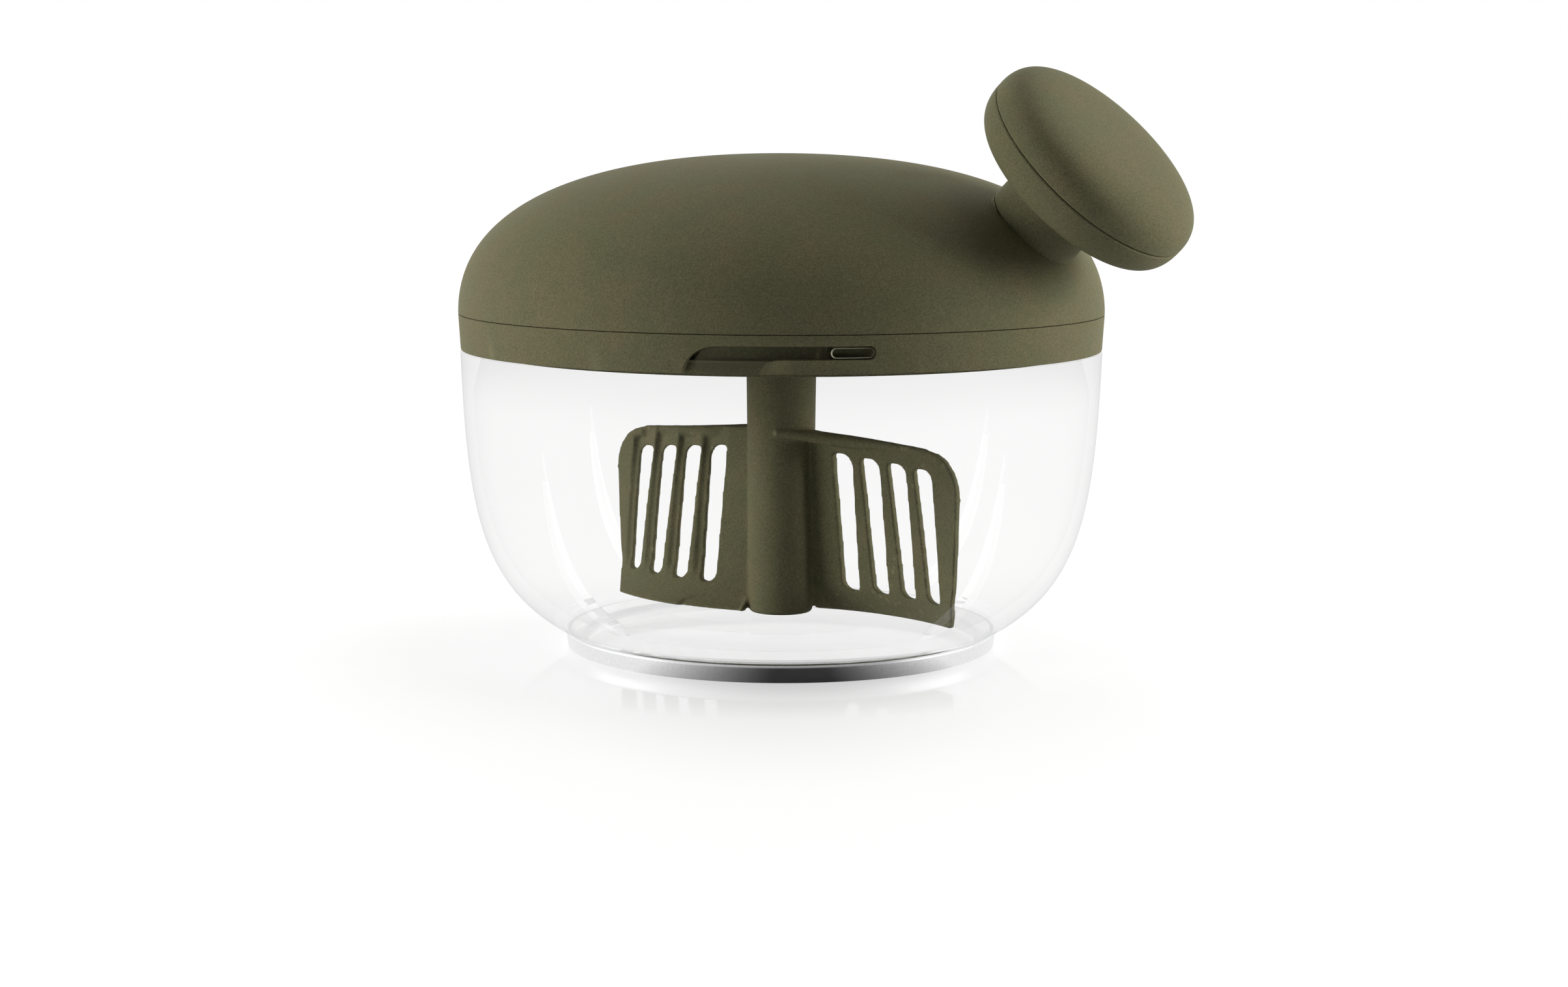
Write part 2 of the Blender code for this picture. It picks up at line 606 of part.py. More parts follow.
def make_foot_ring(parent):
    """Soft ring under the bowl, with a wall outside the bowl's foot."""
    inner = FOOT_RADIUS - FOOT_WIDTH
    wall = FOOT_RADIUS - FOOT_WALL
    profile = [(wall, FOOT_BAND), (FOOT_RADIUS, FOOT_BAND), (FOOT_RADIUS - 0.0005, 0.0005),
               (FOOT_RADIUS - 0.0010, 0.0), (inner, 0.0), (inner, FOOT_SOLE), (wall, FOOT_SOLE)]
    soft = finish_material("foot_soft", FOOT_GREY, 0.45)
    return turned("foot_ring", profile, BIG_FACETS, parent=parent, material=soft)


# Lid
def bayonet_outline():
    """The L-shaped slot, as (arc length, height), with its two swept ends."""
    below = RING_BOTTOM - 2 * PAST
    entry_height = CHANNEL_TOP - RING_BOTTOM
    tongue_height = CHANNEL_BOTTOM - RING_BOTTOM
    end = LUG_ARC + LUG_LENGTH / 2 + SEAT_GAP
    steps = 4
    outline = [(-ENTRY_ARC, below)]
    for k in range(steps + 1):
        angle = math.radians(90.0 * k / steps)
        outline.append((-ENTRY_ARC + ENTRY_CURVE * (1.0 - math.cos(angle)),
                        RING_BOTTOM + entry_height * math.sin(angle)))
    outline += [(0.0, CHANNEL_TOP), (end / 2, CHANNEL_TOP), (end, CHANNEL_TOP),
                (end, CHANNEL_BOTTOM), (end / 2, CHANNEL_BOTTOM)]
    for k in range(steps, -1, -1):
        angle = math.radians(90.0 * k / steps)
        outline.append((-TONGUE_CURVE * math.cos(angle),
                        RING_BOTTOM + tongue_height * math.sin(angle)))
    outline.append((-TONGUE_CURVE, below))
    return outline


def wrapped_slot(index):
    """A cutter for one bayonet slot, wrapped round the lid ring's skirt."""
    inner = LID_FOOT_RADIUS - SKIRT_WALL - 0.0004
    outer = LID_FOOT_RADIUS + 0.0055
    rings = []
    for radius in (inner, outer):
        ring = []
        for arc, height in bayonet_outline():
            angle = math.radians(bayonet_azimuth(arc, index))
            ring.append((radius * math.cos(angle), radius * math.sin(angle), height))
        rings.append(ring)
    return loft(f"lid_slot_{index + 1}", rings)


def make_lid_ring(parent, olive):
    """Lid ring: outer skirt with the bayonet slots, deck, and inner skirt with screw bosses."""
    skirt_inner = LID_FOOT_RADIUS - SKIRT_WALL
    groove_top = GROOVE_BOTTOM + SEAL_HEIGHT + SEAT_GAP
    groove_bottom = GROOVE_BOTTOM - SEAT_GAP
    groove = PLUG_RADIUS - SEAL_GROOVE
    profile = [(LID_RADIUS - 0.0004, RING_TOP), (LID_RADIUS, RING_TOP - 0.0004),
               (LID_FOOT_RADIUS, RING_BOTTOM), (skirt_inner, RING_BOTTOM),
               (skirt_inner, DECK_UNDERSIDE), (PLUG_RADIUS, DECK_UNDERSIDE),
               (PLUG_RADIUS, groove_top), (groove, groove_top), (groove, groove_bottom),
               (PLUG_RADIUS, groove_bottom), (PLUG_RADIUS, PLATE_BOTTOM), (PLUG_INNER, PLATE_BOTTOM),
               (PLUG_INNER, DECK_UNDERSIDE), (DECK_INNER_RADIUS, DECK_UNDERSIDE),
               (DECK_INNER_RADIUS, RING_TOP)]
    ring = turned("lid_ring", profile, BIG_FACETS, parent=parent, material=olive)
    for index in range(LUG_COUNT):
        azimuth = plate_screw_azimuth(index)
        boss_bottom = PLATE_TOP + SEAT_GAP
        boss_top = DECK_UNDERSIDE + DECK_WALL / 2
        place = turn_z(azimuth) @ Matrix.Translation((PLATE_SCREW_CIRCLE, 0.0, 0.0))
        fuse(ring, rod(f"lid_boss_{index + 1}", PLATE_BOSS_RADIUS, boss_bottom, boss_top,
                       SMALL_FACETS, matrix=place))
        half = PLATE_BOSS_RADIUS * 0.7
        reach = PLUG_INNER + PLUG_WALL / 2 - PLATE_SCREW_CIRCLE
        web = [(0.0, -half), (reach, -half), (reach, half), (0.0, half)]
        fuse(ring, prism(f"lid_boss_web_{index + 1}", web, boss_bottom + 0.0002, boss_top - 0.0001,
                         matrix=place))
        cut(ring, rod(f"lid_boss_hole_{index + 1}", PLATE_SCREW_RADIUS + SEAT_GAP,
                      boss_bottom - PAST, RING_TOP - 0.0006, SCREW_FACETS, matrix=place))
        fuse(ring, make_skirt_rib(index))
        cut(ring, wrapped_slot(index))
    return ring


def make_skirt_rib(index):
    """A small tapered rib on the inner skirt, seen through the bowl's rim."""
    rib_bottom = CHANNEL_BOTTOM
    rib_top = DECK_UNDERSIDE + DECK_WALL / 2
    rings = []
    for height, width in ((rib_bottom, SKIRT_RIB_WIDTH * 0.6), (rib_top, SKIRT_RIB_WIDTH)):
        near = PLUG_RADIUS - PLUG_WALL / 2
        far = PLUG_RADIUS + SKIRT_RIB_DEPTH
        rings.append([(-width / 2, height, near), (width / 2, height, near),
                      (width / 2, height, far), (-width / 2, height, far)])
    return loft(f"lid_skirt_rib_{index + 1}", rings,
                matrix=facing_out(bayonet_azimuth(SKIRT_RIB_ARC, index)))


def plate_screw_azimuth(index):
    """Where the gear plate's screws stand, between the planets."""
    return PLANET_FIRST_AZIMUTH + 180.0 / PLANET_COUNT + 360.0 / PLANET_COUNT * index


def make_lid_seal(parent):
    """Rubber ring in the inner skirt's groove, with a lip against the bowl's rim."""
    low = GROOVE_BOTTOM
    high = low + SEAL_HEIGHT
    inner = PLUG_RADIUS - SEAL_GROOVE + SEAT_GAP
    lip = RIM_INNER - SEAT_GAP
    body = PLUG_RADIUS + 0.0004
    profile = [(inner, high), (body, high), (lip, high - 0.0004), (body, high - 0.0009),
               (body, low), (inner, low)]
    rubber = finish_material("seal_rubber", SEAL_GREY, 0.6)
    return turned("lid_seal", profile, BIG_FACETS, parent=parent, material=rubber)


def planet_place(index):
    """The centre of one planet gear."""
    azimuth = PLANET_FIRST_AZIMUTH + 360.0 / PLANET_COUNT * index
    return turn_z(azimuth) @ Matrix.Translation((PLANET_CIRCLE, 0.0, 0.0))


def make_gear_plate(parent):
    """Plate that closes the lid below and carries the planet pins and the spindle bush."""
    profile = [(PLATE_HUB_RADIUS, PLATE_TOP + PLATE_HUB_HEIGHT), (PLATE_HUB_RADIUS, PLATE_TOP),
               (PLATE_RADIUS, PLATE_TOP), (PLATE_RADIUS, PLATE_BOTTOM + 0.0003),
               (PLATE_RADIUS - 0.0003, PLATE_BOTTOM), (BUSH_RADIUS + SEAT_GAP, PLATE_BOTTOM),
               (BUSH_RADIUS + SEAT_GAP, PLATE_TOP + PLATE_HUB_HEIGHT)]
    olive = finish_material("plate_olive", PLATE_OLIVE, 0.5)
    plate = turned("gear_plate", profile, BIG_FACETS, parent=parent, material=olive)
    for index in range(PLANET_COUNT):
        place = planet_place(index)
        fuse(plate, rod(f"plate_boss_{index + 1}", PLANET_BOSS_RADIUS, PLATE_TOP - 0.0005,
                        PLANET_BOSS_TOP, SMALL_FACETS, matrix=place))
        cut(plate, rod(f"plate_pin_hole_{index + 1}", PLANET_PIN_RADIUS + SEAT_GAP,
                       PLATE_TOP - PIN_SINK - SEAT_GAP, GEAR_FLOOR, SMALL_FACETS, matrix=place))
        screw_place = turn_z(plate_screw_azimuth(index)) @ Matrix.Translation(
            (PLATE_SCREW_CIRCLE, 0.0, 0.0))
        cut(plate, rod(f"plate_screw_hole_{index + 1}", PLATE_SCREW_RADIUS + SEAT_GAP,
                       PLATE_BOTTOM - PAST, PLATE_TOP + PAST, SCREW_FACETS, matrix=screw_place))
    return plate


def screw_profile(radius, head_underside, tip, head_height, down=False):
    """Pan head screw along Z. The head is above its underside, or below it when down."""
    sign = -1.0 if down else 1.0
    head = radius * SCREW_HEAD_FACTOR
    crown = head_underside + sign * head_height
    profile = [(0.0, crown), (head * 0.75, crown), (head, head_underside + sign * head_height * 0.4),
               (head, head_underside), (radius, head_underside), (radius * 0.9, tip), (0.0, tip)]
    if down:
        profile.reverse()
    return profile


def make_plate_screws(parent, steel):
    """Three screws that hold the gear plate up to the lid ring."""
    for index in range(LUG_COUNT):
        place = turn_z(plate_screw_azimuth(index)) @ Matrix.Translation((PLATE_SCREW_CIRCLE, 0.0, 0.0))
        profile = screw_profile(PLATE_SCREW_RADIUS, PLATE_BOTTOM - SEAT_GAP, RING_TOP - 0.0006 - SEAT_GAP,
                                SCREW_HEAD_HEIGHT, down=True)
        turned(f"plate_screw_{index + 1}", profile, SCREW_FACETS, closed=False, parent=parent,
               matrix=place, material=steel)


def make_planet_pins(parent, steel):
    """Steel pins that stand in the gear plate."""
    for index in range(PLANET_COUNT):
        low = PLATE_TOP - PIN_SINK
        profile = [(0.0, PIN_TOP), (PLANET_PIN_RADIUS - 0.0004, PIN_TOP),
                   (PLANET_PIN_RADIUS, PIN_TOP - 0.0006), (PLANET_PIN_RADIUS, low), (0.0, low)]
        turned(f"planet_pin_{index + 1}", profile, SMALL_FACETS, closed=False, parent=parent,
               matrix=planet_place(index), material=steel)


def make_spindle_bush(parent):
    """Flanged bronze bush pressed up into the gear plate."""
    profile = [(BUSH_RADIUS, BUSH_TOP), (BUSH_RADIUS, BUSH_FLANGE_TOP),
               (BUSH_RADIUS + BUSH_FLANGE, BUSH_FLANGE_TOP),
               (BUSH_RADIUS + BUSH_FLANGE, BUSH_FLANGE_BOTTOM),
               (BUSH_BORE, BUSH_FLANGE_BOTTOM), (BUSH_BORE, BUSH_TOP)]
    bronze = finish_material("bush_bronze", BRONZE, 0.35, 1.0)
    return turned("spindle_bush", profile, SMALL_FACETS, parent=parent, material=bronze)


# Gear train
def involute(angle):
    """The involute of an angle."""
    return math.tan(angle) - angle


def gear_outline(teeth, radii, thinning, phase):
    """Outline of a gear whose flanks meet the involute at the given radii, root to tip.

    The first tooth is centred on phase degrees.
    """
    pitch = MODULE * teeth / 2
    base = pitch * math.cos(PRESSURE_ANGLE)

    def half_angle(radius):
        flank = math.acos(base / max(radius, base))
        width = math.pi / (2 * teeth) + involute(PRESSURE_ANGLE) - involute(flank)
        return width - thinning / (2 * pitch)

    points = []
    for tooth in range(teeth):
        centre = math.radians(phase) + math.tau * tooth / teeth
        for side, flank in ((-1, radii), (1, radii[::-1])):
            for radius in flank:
                angle = centre + side * half_angle(radius)
                points.append((radius * math.cos(angle), radius * math.sin(angle)))
    return points


def outer_gear_radii(teeth):
    """Root, pitch and tip radius of a gear with outside teeth."""
    pitch = MODULE * teeth / 2
    return (pitch - ROOT_DEPTH * MODULE, pitch, pitch + MODULE)


def make_ring_gear(parent):
    """Internal gear wheel: toothed rim, web, and a hub that steadies the spindle's top."""
    rim_bottom = GEAR_FLOOR - SEAT_GAP
    profile = [(WEB_HUB_RADIUS, WEB_TOP + WEB_HUB_HEIGHT), (WEB_HUB_RADIUS, WEB_TOP),
               (WEB_RADIUS, WEB_TOP), (WEB_RADIUS, WEB_UNDERSIDE),
               (RING_OUTER_RADIUS, WEB_UNDERSIDE), (RING_OUTER_RADIUS, rim_bottom),
               (SPINDLE_PIVOT_RADIUS + RUN_GAP, rim_bottom),
               (SPINDLE_PIVOT_RADIUS + RUN_GAP, WEB_TOP + WEB_HUB_HEIGHT)]
    white = finish_material("ring_gear_white", GEAR_WHITE, 0.35)
    wheel = turned("ring_gear", profile, BIG_FACETS, parent=parent, material=white)
    space = gear_outline(RING_TEETH, (RING_PITCH_RADIUS - MODULE, RING_ROOT_RADIUS),
                         -1.5 * TOOTH_THINNING, PLANET_FIRST_AZIMUTH)
    cut(wheel, prism("ring_gear_teeth", space, rim_bottom - PAST, WEB_UNDERSIDE))
    for index in range(DOME_SCREW_COUNT):
        cut(wheel, rod(f"ring_gear_hole_{index + 1}", DOME_SCREW_RADIUS + SEAT_GAP,
                       WEB_UNDERSIDE - PAST, WEB_TOP + PAST, SCREW_FACETS,
                       matrix=dome_screw_place(index)))
    return wheel


def make_planet_gears(pivots):
    """Planet gears, each with a tooth towards the ring and a gap towards the sun."""
    white = finish_material("planet_white", GEAR_WHITE, 0.35)
    for index, parent in enumerate(pivots):
        azimuth = PLANET_FIRST_AZIMUTH + 360.0 / PLANET_COUNT * index
        outline = gear_outline(PLANET_TEETH, outer_gear_radii(PLANET_TEETH), TOOTH_THINNING, azimuth)
        gear = prism(f"planet_gear_{index + 1}", outline, GEAR_FLOOR, GEAR_TOP, parent=parent,
                     material=white)
        cut(gear, rod(f"planet_bore_{index + 1}", PLANET_PIN_RADIUS + RUN_GAP,
                      GEAR_FLOOR - PAST, GEAR_TOP + PAST, SMALL_FACETS, parent=parent))


def make_sun_gear(parent):
    """Sun gear with a hexagonal bore on the spindle."""
    outline = gear_outline(SUN_TEETH, outer_gear_radii(SUN_TEETH), TOOTH_THINNING,
                           PLANET_FIRST_AZIMUTH)
    white = finish_material("sun_white", GEAR_WHITE, 0.35)
    gear = prism("sun_gear", outline, GEAR_FLOOR, GEAR_TOP, parent=parent, material=white)
    fuse(gear, rod("sun_hub", SUN_HUB_RADIUS, GEAR_TOP - GEAR_WIDTH / 2, SUN_TOP, SMALL_FACETS))
    cut(gear, prism("sun_bore", hexagon(SUN_HEX + 2 * SEAT_GAP), GEAR_FLOOR - PAST,
                    SUN_TOP + PAST))
    return gear


def make_drive_spindle(parent, steel):
    """Steel spindle: hexagon in the tool, collar, round journal, hexagon in the sun, pivot."""
    pivot_top = SPINDLE_PIVOT_BOTTOM + SPINDLE_PIVOT_LENGTH
    profile = [(0.0, pivot_top), (SPINDLE_PIVOT_RADIUS - 0.0004, pivot_top),
               (SPINDLE_PIVOT_RADIUS, pivot_top - 0.0004),
               (SPINDLE_PIVOT_RADIUS, SPINDLE_PIVOT_BOTTOM),
               (SPINDLE_PIVOT_RADIUS, GEAR_FLOOR), (SPINDLE_RADIUS, GEAR_FLOOR - 0.0001),
               (SPINDLE_RADIUS, COLLAR_TOP), (COLLAR_RADIUS, COLLAR_TOP),
               (COLLAR_RADIUS, COLLAR_BOTTOM), (0.0, COLLAR_BOTTOM)]
    spindle = turned("drive_spindle", profile, SMALL_FACETS, closed=False, parent=parent,
                     material=steel)
    fuse(spindle, prism("spindle_sun_hex", hexagon(SUN_HEX), GEAR_FLOOR - 0.0004,
                        SPINDLE_PIVOT_BOTTOM))
    fuse(spindle, prism("spindle_drive_hex", hexagon(DRIVE_HEX), DRIVE_HEX_BOTTOM,
                        COLLAR_BOTTOM + COLLAR_HEIGHT / 2))
    return spindle


def make_spindle_clip(parent, steel):
    """Spring clip on the spindle above the sun gear, open on one side."""
    inner = SPINDLE_PIVOT_RADIUS + SEAT_GAP
    steps = 12
    outline = []
    for radius, turns in ((CLIP_RADIUS, range(steps + 1)), (inner, range(steps, -1, -1))):
        for k in turns:
            angle = math.radians(CLIP_OPENING / 2 + (360.0 - CLIP_OPENING) * k / steps)
            outline.append((radius * math.cos(angle), radius * math.sin(angle)))
    return prism("spindle_clip", outline, CLIP_BOTTOM, CLIP_TOP, parent=parent, material=steel)


# Dome
def dome_screw_place(index):
    """The axis of one dome screw."""
    azimuth = DOME_SCREW_FIRST_AZIMUTH + 360.0 / DOME_SCREW_COUNT * index
    return turn_z(azimuth) @ Matrix.Translation((EAR_CIRCLE, 0.0, 0.0))


def knob_matrix():
    """Local Z is the knob's axis, and the origin is where the neck sits on the dome."""
    place = math.radians(KNOB_PLACE_AZIMUTH)
    lean = math.radians(KNOB_AXIS_AZIMUTH)
    tilt = math.radians(KNOB_AXIS_TILT)
    along = Vector((math.cos(tilt) * math.cos(lean), math.cos(tilt) * math.sin(lean), math.sin(tilt)))
    across = Vector((-math.sin(lean), math.cos(lean), 0.0))
    matrix = Matrix.Identity(4)
    matrix.col[0] = (*along.cross(across), 0.0)
    matrix.col[0] *= -1.0
    matrix.col[1] = (*across, 0.0)
    matrix.col[2] = (*along, 0.0)
    matrix.translation = (KNOB_PLACE_RADIUS * math.cos(place), KNOB_PLACE_RADIUS * math.sin(place),
                          KNOB_PLACE_HEIGHT)
    return matrix


def make_dome(parent, olive):
    """Dome shell with screw bosses below and a seat and boss for the knob's axle."""
    outside = [(0.0, DOME_TOP)] + DOME_OUTSIDE[-2::-1]
    outside += [(LID_RADIUS - DOME_EDGE_ROUND / 2, DOME_BOTTOM), (0.0, DOME_BOTTOM)]
    dome = turned("dome_cover", outside, BIG_FACETS, closed=False, parent=parent, material=olive)
    hollow = turned("dome_hollow", DOME_INSIDE[::-1] + [(0.0, DOME_BOTTOM - 2 * PAST)], BIG_FACETS,
                    closed=False)
    for index in range(DOME_SCREW_COUNT):
        cut(hollow, rod(f"dome_boss_{index + 1}", DOME_BOSS_RADIUS, WEB_TOP + SEAT_GAP,
                        DOME_TOP + PAST, SMALL_FACETS, matrix=dome_screw_place(index)))
    seat = knob_matrix()
    cut(hollow, rod("dome_knob_boss", DOME_KNOB_BOSS_RADIUS, -DOME_KNOB_BOSS_DEPTH, NECK_HEIGHT,
                    SMALL_FACETS, matrix=seat))
    for index in range(DOME_SCREW_COUNT):
        fuse(hollow, rod(f"dome_screw_hole_{index + 1}", DOME_SCREW_RADIUS + SEAT_GAP,
                         WEB_TOP - PAST, WEB_TOP + DOME_SCREW_BITE + PAST, SCREW_FACETS,
                         matrix=dome_screw_place(index)))
    fuse(hollow, rod("dome_axle_hole", AXLE_RADIUS + SEAT_GAP, -DOME_KNOB_BOSS_DEPTH - 2 * PAST,
                     4 * PAST, SMALL_FACETS, matrix=seat))
    fuse(dome, rod("dome_knob_seat", NECK_RADIUS - 0.0001, -2.2 * DOME_WALL, -SEAT_GAP, MID_FACETS,
                   matrix=seat))
    cut(dome, hollow)
    return dome


def make_retaining_ring(parent):
    """Ring under the web whose flange hooks below the lid's deck and keeps the dome down."""
    upstand_inner = UPSTAND_RADIUS - HOOK_UPSTAND_WALL
    profile = [(UPSTAND_RADIUS, UPSTAND_TOP), (UPSTAND_RADIUS, HOOK_TOP), (HOOK_RADIUS, HOOK_TOP),
               (HOOK_RADIUS, HOOK_BOTTOM), (upstand_inner, HOOK_BOTTOM), (upstand_inner, UPSTAND_TOP)]
    white = finish_material("hook_white", GEAR_WHITE, 0.4)
    ring = turned("retaining_ring", profile, BIG_FACETS, parent=parent, material=white)
    for index in range(DOME_SCREW_COUNT):
        place = dome_screw_place(index)
        reach = upstand_inner + HOOK_UPSTAND_WALL / 2 - EAR_CIRCLE
        web = [(0.0, -EAR_RADIUS * 0.8), (reach, -EAR_RADIUS * 0.8), (reach, EAR_RADIUS * 0.8),
               (0.0, EAR_RADIUS * 0.8)]
        fuse(ring, rod(f"hook_ear_{index + 1}", EAR_RADIUS, EAR_BOTTOM, UPSTAND_TOP - 0.0001,
                       SMALL_FACETS, matrix=place))
        fuse(ring, prism(f"hook_web_{index + 1}", web, EAR_BOTTOM + 0.0002, UPSTAND_TOP - 0.0003,
                         matrix=place))
        cut(ring, rod(f"hook_hole_{index + 1}", DOME_SCREW_RADIUS + SEAT_GAP, EAR_BOTTOM - PAST,
                      UPSTAND_TOP + PAST, SCREW_FACETS, matrix=place))
    return ring


def make_glide_ring(parent):
    """Slippery ring between the dome's web and the lid's deck."""
    low = RING_TOP + SEAT_GAP
    high = WEB_UNDERSIDE - SEAT_GAP
    inner = GLIDE_RADIUS - GLIDE_WIDTH
    profile = [(GLIDE_RADIUS, high), (GLIDE_RADIUS - 0.0004, low), (inner + 0.0004, low),
               (inner, high)]
    white = finish_material("glide_white", GEAR_WHITE, 0.25)
    return turned("glide_ring", profile, BIG_FACETS, parent=parent, material=white)


def make_dome_screws(parent, steel):
    """Three long screws that clamp the hook ring and the gear wheel to the dome."""
    for index in range(DOME_SCREW_COUNT):
        profile = screw_profile(DOME_SCREW_RADIUS, EAR_BOTTOM - SEAT_GAP,
                                WEB_TOP + DOME_SCREW_BITE, SCREW_HEAD_HEIGHT, down=True)
        turned(f"dome_screw_{index + 1}", profile, SCREW_FACETS, closed=False, parent=parent,
               matrix=dome_screw_place(index), material=steel)


# Knob
def make_knob_base(parent, olive):
    """Neck and underside of the knob, with the bore for its bush."""
    under = bezier((KNOB_RADIUS, KNOB_PARTING - KNOB_SEAM), (KNOB_RADIUS, KNOB_PARTING - KNOB_EDGE_PULL),
                   (NECK_TOP_RADIUS + KNOB_UNDER_PULL, NECK_HEIGHT), (NECK_TOP_RADIUS, NECK_HEIGHT), 5)
    floor = NECK_HEIGHT + KNOB_WALL
    boss = KNOB_BASE_BORE + KNOB_BOSS_WALL
    wall = KNOB_RADIUS - KNOB_WALL
    profile = under + [(NECK_RADIUS + 0.0004, NECK_HEIGHT - 0.0006), (NECK_RADIUS, NECK_HEIGHT - 0.0024),
                       (NECK_RADIUS, 0.0003), (NECK_RADIUS - 0.0003, 0.0), (KNOB_BASE_BORE, 0.0),
                       (KNOB_BASE_BORE, KNOB_BOSS_TOP), (boss, KNOB_BOSS_TOP), (boss, floor),
                       (wall - 0.0060, floor), (wall, KNOB_PARTING - KNOB_PLUG - 2 * SEAT_GAP),
                       (wall, KNOB_PARTING - KNOB_SEAM)]
    return turned("knob_base", profile, MID_FACETS, parent=parent, material=olive)


def make_knob_cap(parent, olive):
    """Domed cap that snaps into the knob's base."""
    crown = bezier((0.0, KNOB_HEIGHT), (KNOB_CAP_CROWN_PULL, KNOB_HEIGHT),
                   (KNOB_RADIUS, KNOB_PARTING + KNOB_CAP_EDGE_PULL), (KNOB_RADIUS, KNOB_PARTING), 6)
    plug = KNOB_RADIUS - KNOB_WALL - SEAT_GAP
    plug_inner = plug - KNOB_PLUG_WALL
    inside = bezier((plug_inner, KNOB_PARTING), (plug_inner, KNOB_PARTING + KNOB_CAP_EDGE_PULL * 0.75),
                    (KNOB_CAP_CROWN_PULL * 0.85, KNOB_HEIGHT - KNOB_WALL),
                    (0.0, KNOB_HEIGHT - KNOB_WALL), 3)
    profile = crown + [(plug, KNOB_PARTING), (plug, KNOB_PARTING - KNOB_PLUG),
                       (plug_inner, KNOB_PARTING - KNOB_PLUG)] + inside
    return turned("knob_cap", profile, MID_FACETS, closed=False, parent=parent, material=olive)


def make_knob_bush(parent):
    """Flanged bush pressed into the knob, running on the axle."""
    bore = AXLE_RADIUS + RUN_GAP
    outer = bore + KNOB_BUSH_WALL
    flange_bottom = KNOB_BOSS_TOP + SEAT_GAP
    flange_top = flange_bottom + KNOB_BUSH_FLANGE_HEIGHT
    profile = [(outer + KNOB_BUSH_FLANGE, flange_top), (outer + KNOB_BUSH_FLANGE, flange_bottom),
               (outer, flange_bottom), (outer, SEAT_GAP), (bore, SEAT_GAP), (bore, flange_top)]
    white = finish_material("knob_bush_white", GEAR_WHITE, 0.3)
    return turned("knob_bush", profile, SMALL_FACETS, parent=parent, material=white)


def make_knob_axle(parent, steel):
    """Headed pin through the dome's boss, with a threaded hole in its outer end."""
    head_top = -DOME_KNOB_BOSS_DEPTH - SEAT_GAP
    head_bottom = head_top - AXLE_HEAD_HEIGHT
    hole = AXLE_SCREW_RADIUS + SEAT_GAP
    hole_end = AXLE_END - AXLE_SCREW_LENGTH - 0.0008
    profile = [(0.0, hole_end), (hole, hole_end), (hole, AXLE_END), (AXLE_RADIUS - 0.0003, AXLE_END),
               (AXLE_RADIUS, AXLE_END - 0.0003), (AXLE_RADIUS, head_top), (AXLE_HEAD_RADIUS, head_top),
               (AXLE_HEAD_RADIUS, head_bottom + 0.0004), (AXLE_HEAD_RADIUS - 0.0004, head_bottom),
               (0.0, head_bottom)]
    return turned("knob_axle", profile, SMALL_FACETS, closed=False, parent=parent, material=steel)


def make_axle_washer(parent, steel):
    """Washer that keeps the bush on the axle."""
    low = AXLE_END + SEAT_GAP
    high = low + WASHER_WALL
    hole = AXLE_SCREW_RADIUS + SEAT_GAP
    profile = [(WASHER_RADIUS, high), (WASHER_RADIUS, low), (hole, low), (hole, high)]
    return turned("axle_washer", profile, SMALL_FACETS, parent=parent, material=steel)


def make_axle_screw(parent, steel):
    """Screw in the axle's end."""
    head_underside = AXLE_END + SEAT_GAP + WASHER_WALL + SEAT_GAP
    profile = screw_profile(AXLE_SCREW_RADIUS, head_underside, AXLE_END - AXLE_SCREW_LENGTH,
                            SCREW_HEAD_HEIGHT * 1.3)
    return turned("axle_screw", profile, SCREW_FACETS, closed=False, parent=parent, material=steel)


# Mixing tool
def blade_offset(reach, height):
    """Sideways place of the blade's middle surface, in its own frame."""
    share = (height - SLOT_BOTTOM) / (SLOT_TOP - SLOT_BOTTOM)
    belly = BLADE_BELLY_LOW + (BLADE_BELLY_HIGH - BLADE_BELLY_LOW) * share
    bulge = belly * (1.0 - ((reach - BELLY_MIDDLE) / BELLY_SPREAD) ** 2)
    if height >= SWEEP_TOP:
        return bulge
    sweep = (SWEEP_TOP - height) / (SWEEP_TOP - HUB_BOTTOM)
    return bulge + SWEEP_DEPTH * sweep ** 1.5


def blade_rows():
    """Heights of the blade's rows at its outer end, with how far each row reaches out."""
    top = BLADE_TOP - BLADE_TOP_SLOPE * BLADE_REACH
    low = BLADE_LOW_REACH
    spread = BLADE_REACH - low
    rows = [(BLADE_EDGE, low), (BLADE_EDGE + 0.0016, low + spread * 0.36),
            (BLADE_EDGE + 0.0038, low + spread * 0.67), (SWEEP_TOP, low + spread * 0.87),
            (BLADE_SIDE, BLADE_REACH)]
    steps = 5
    for k in range(steps + 1):
        angle = math.radians(90.0 * k / steps)
        rows.append((top - BLADE_CORNER * (1.0 - math.sin(angle)),
                     BLADE_REACH - BLADE_CORNER * (1.0 - math.cos(angle))))
    return rows


def blade_path_radius(height):
    """How far from the axis the blades' outer edges pass at a height."""
    level = min(max(height, BLADE_EDGE), BLADE_SIDE)
    reach = radius_on_curve([(out, row) for row, out in blade_rows()], level)
    return math.hypot(reach, blade_offset(reach, level) + BLADE_WALL / 2)


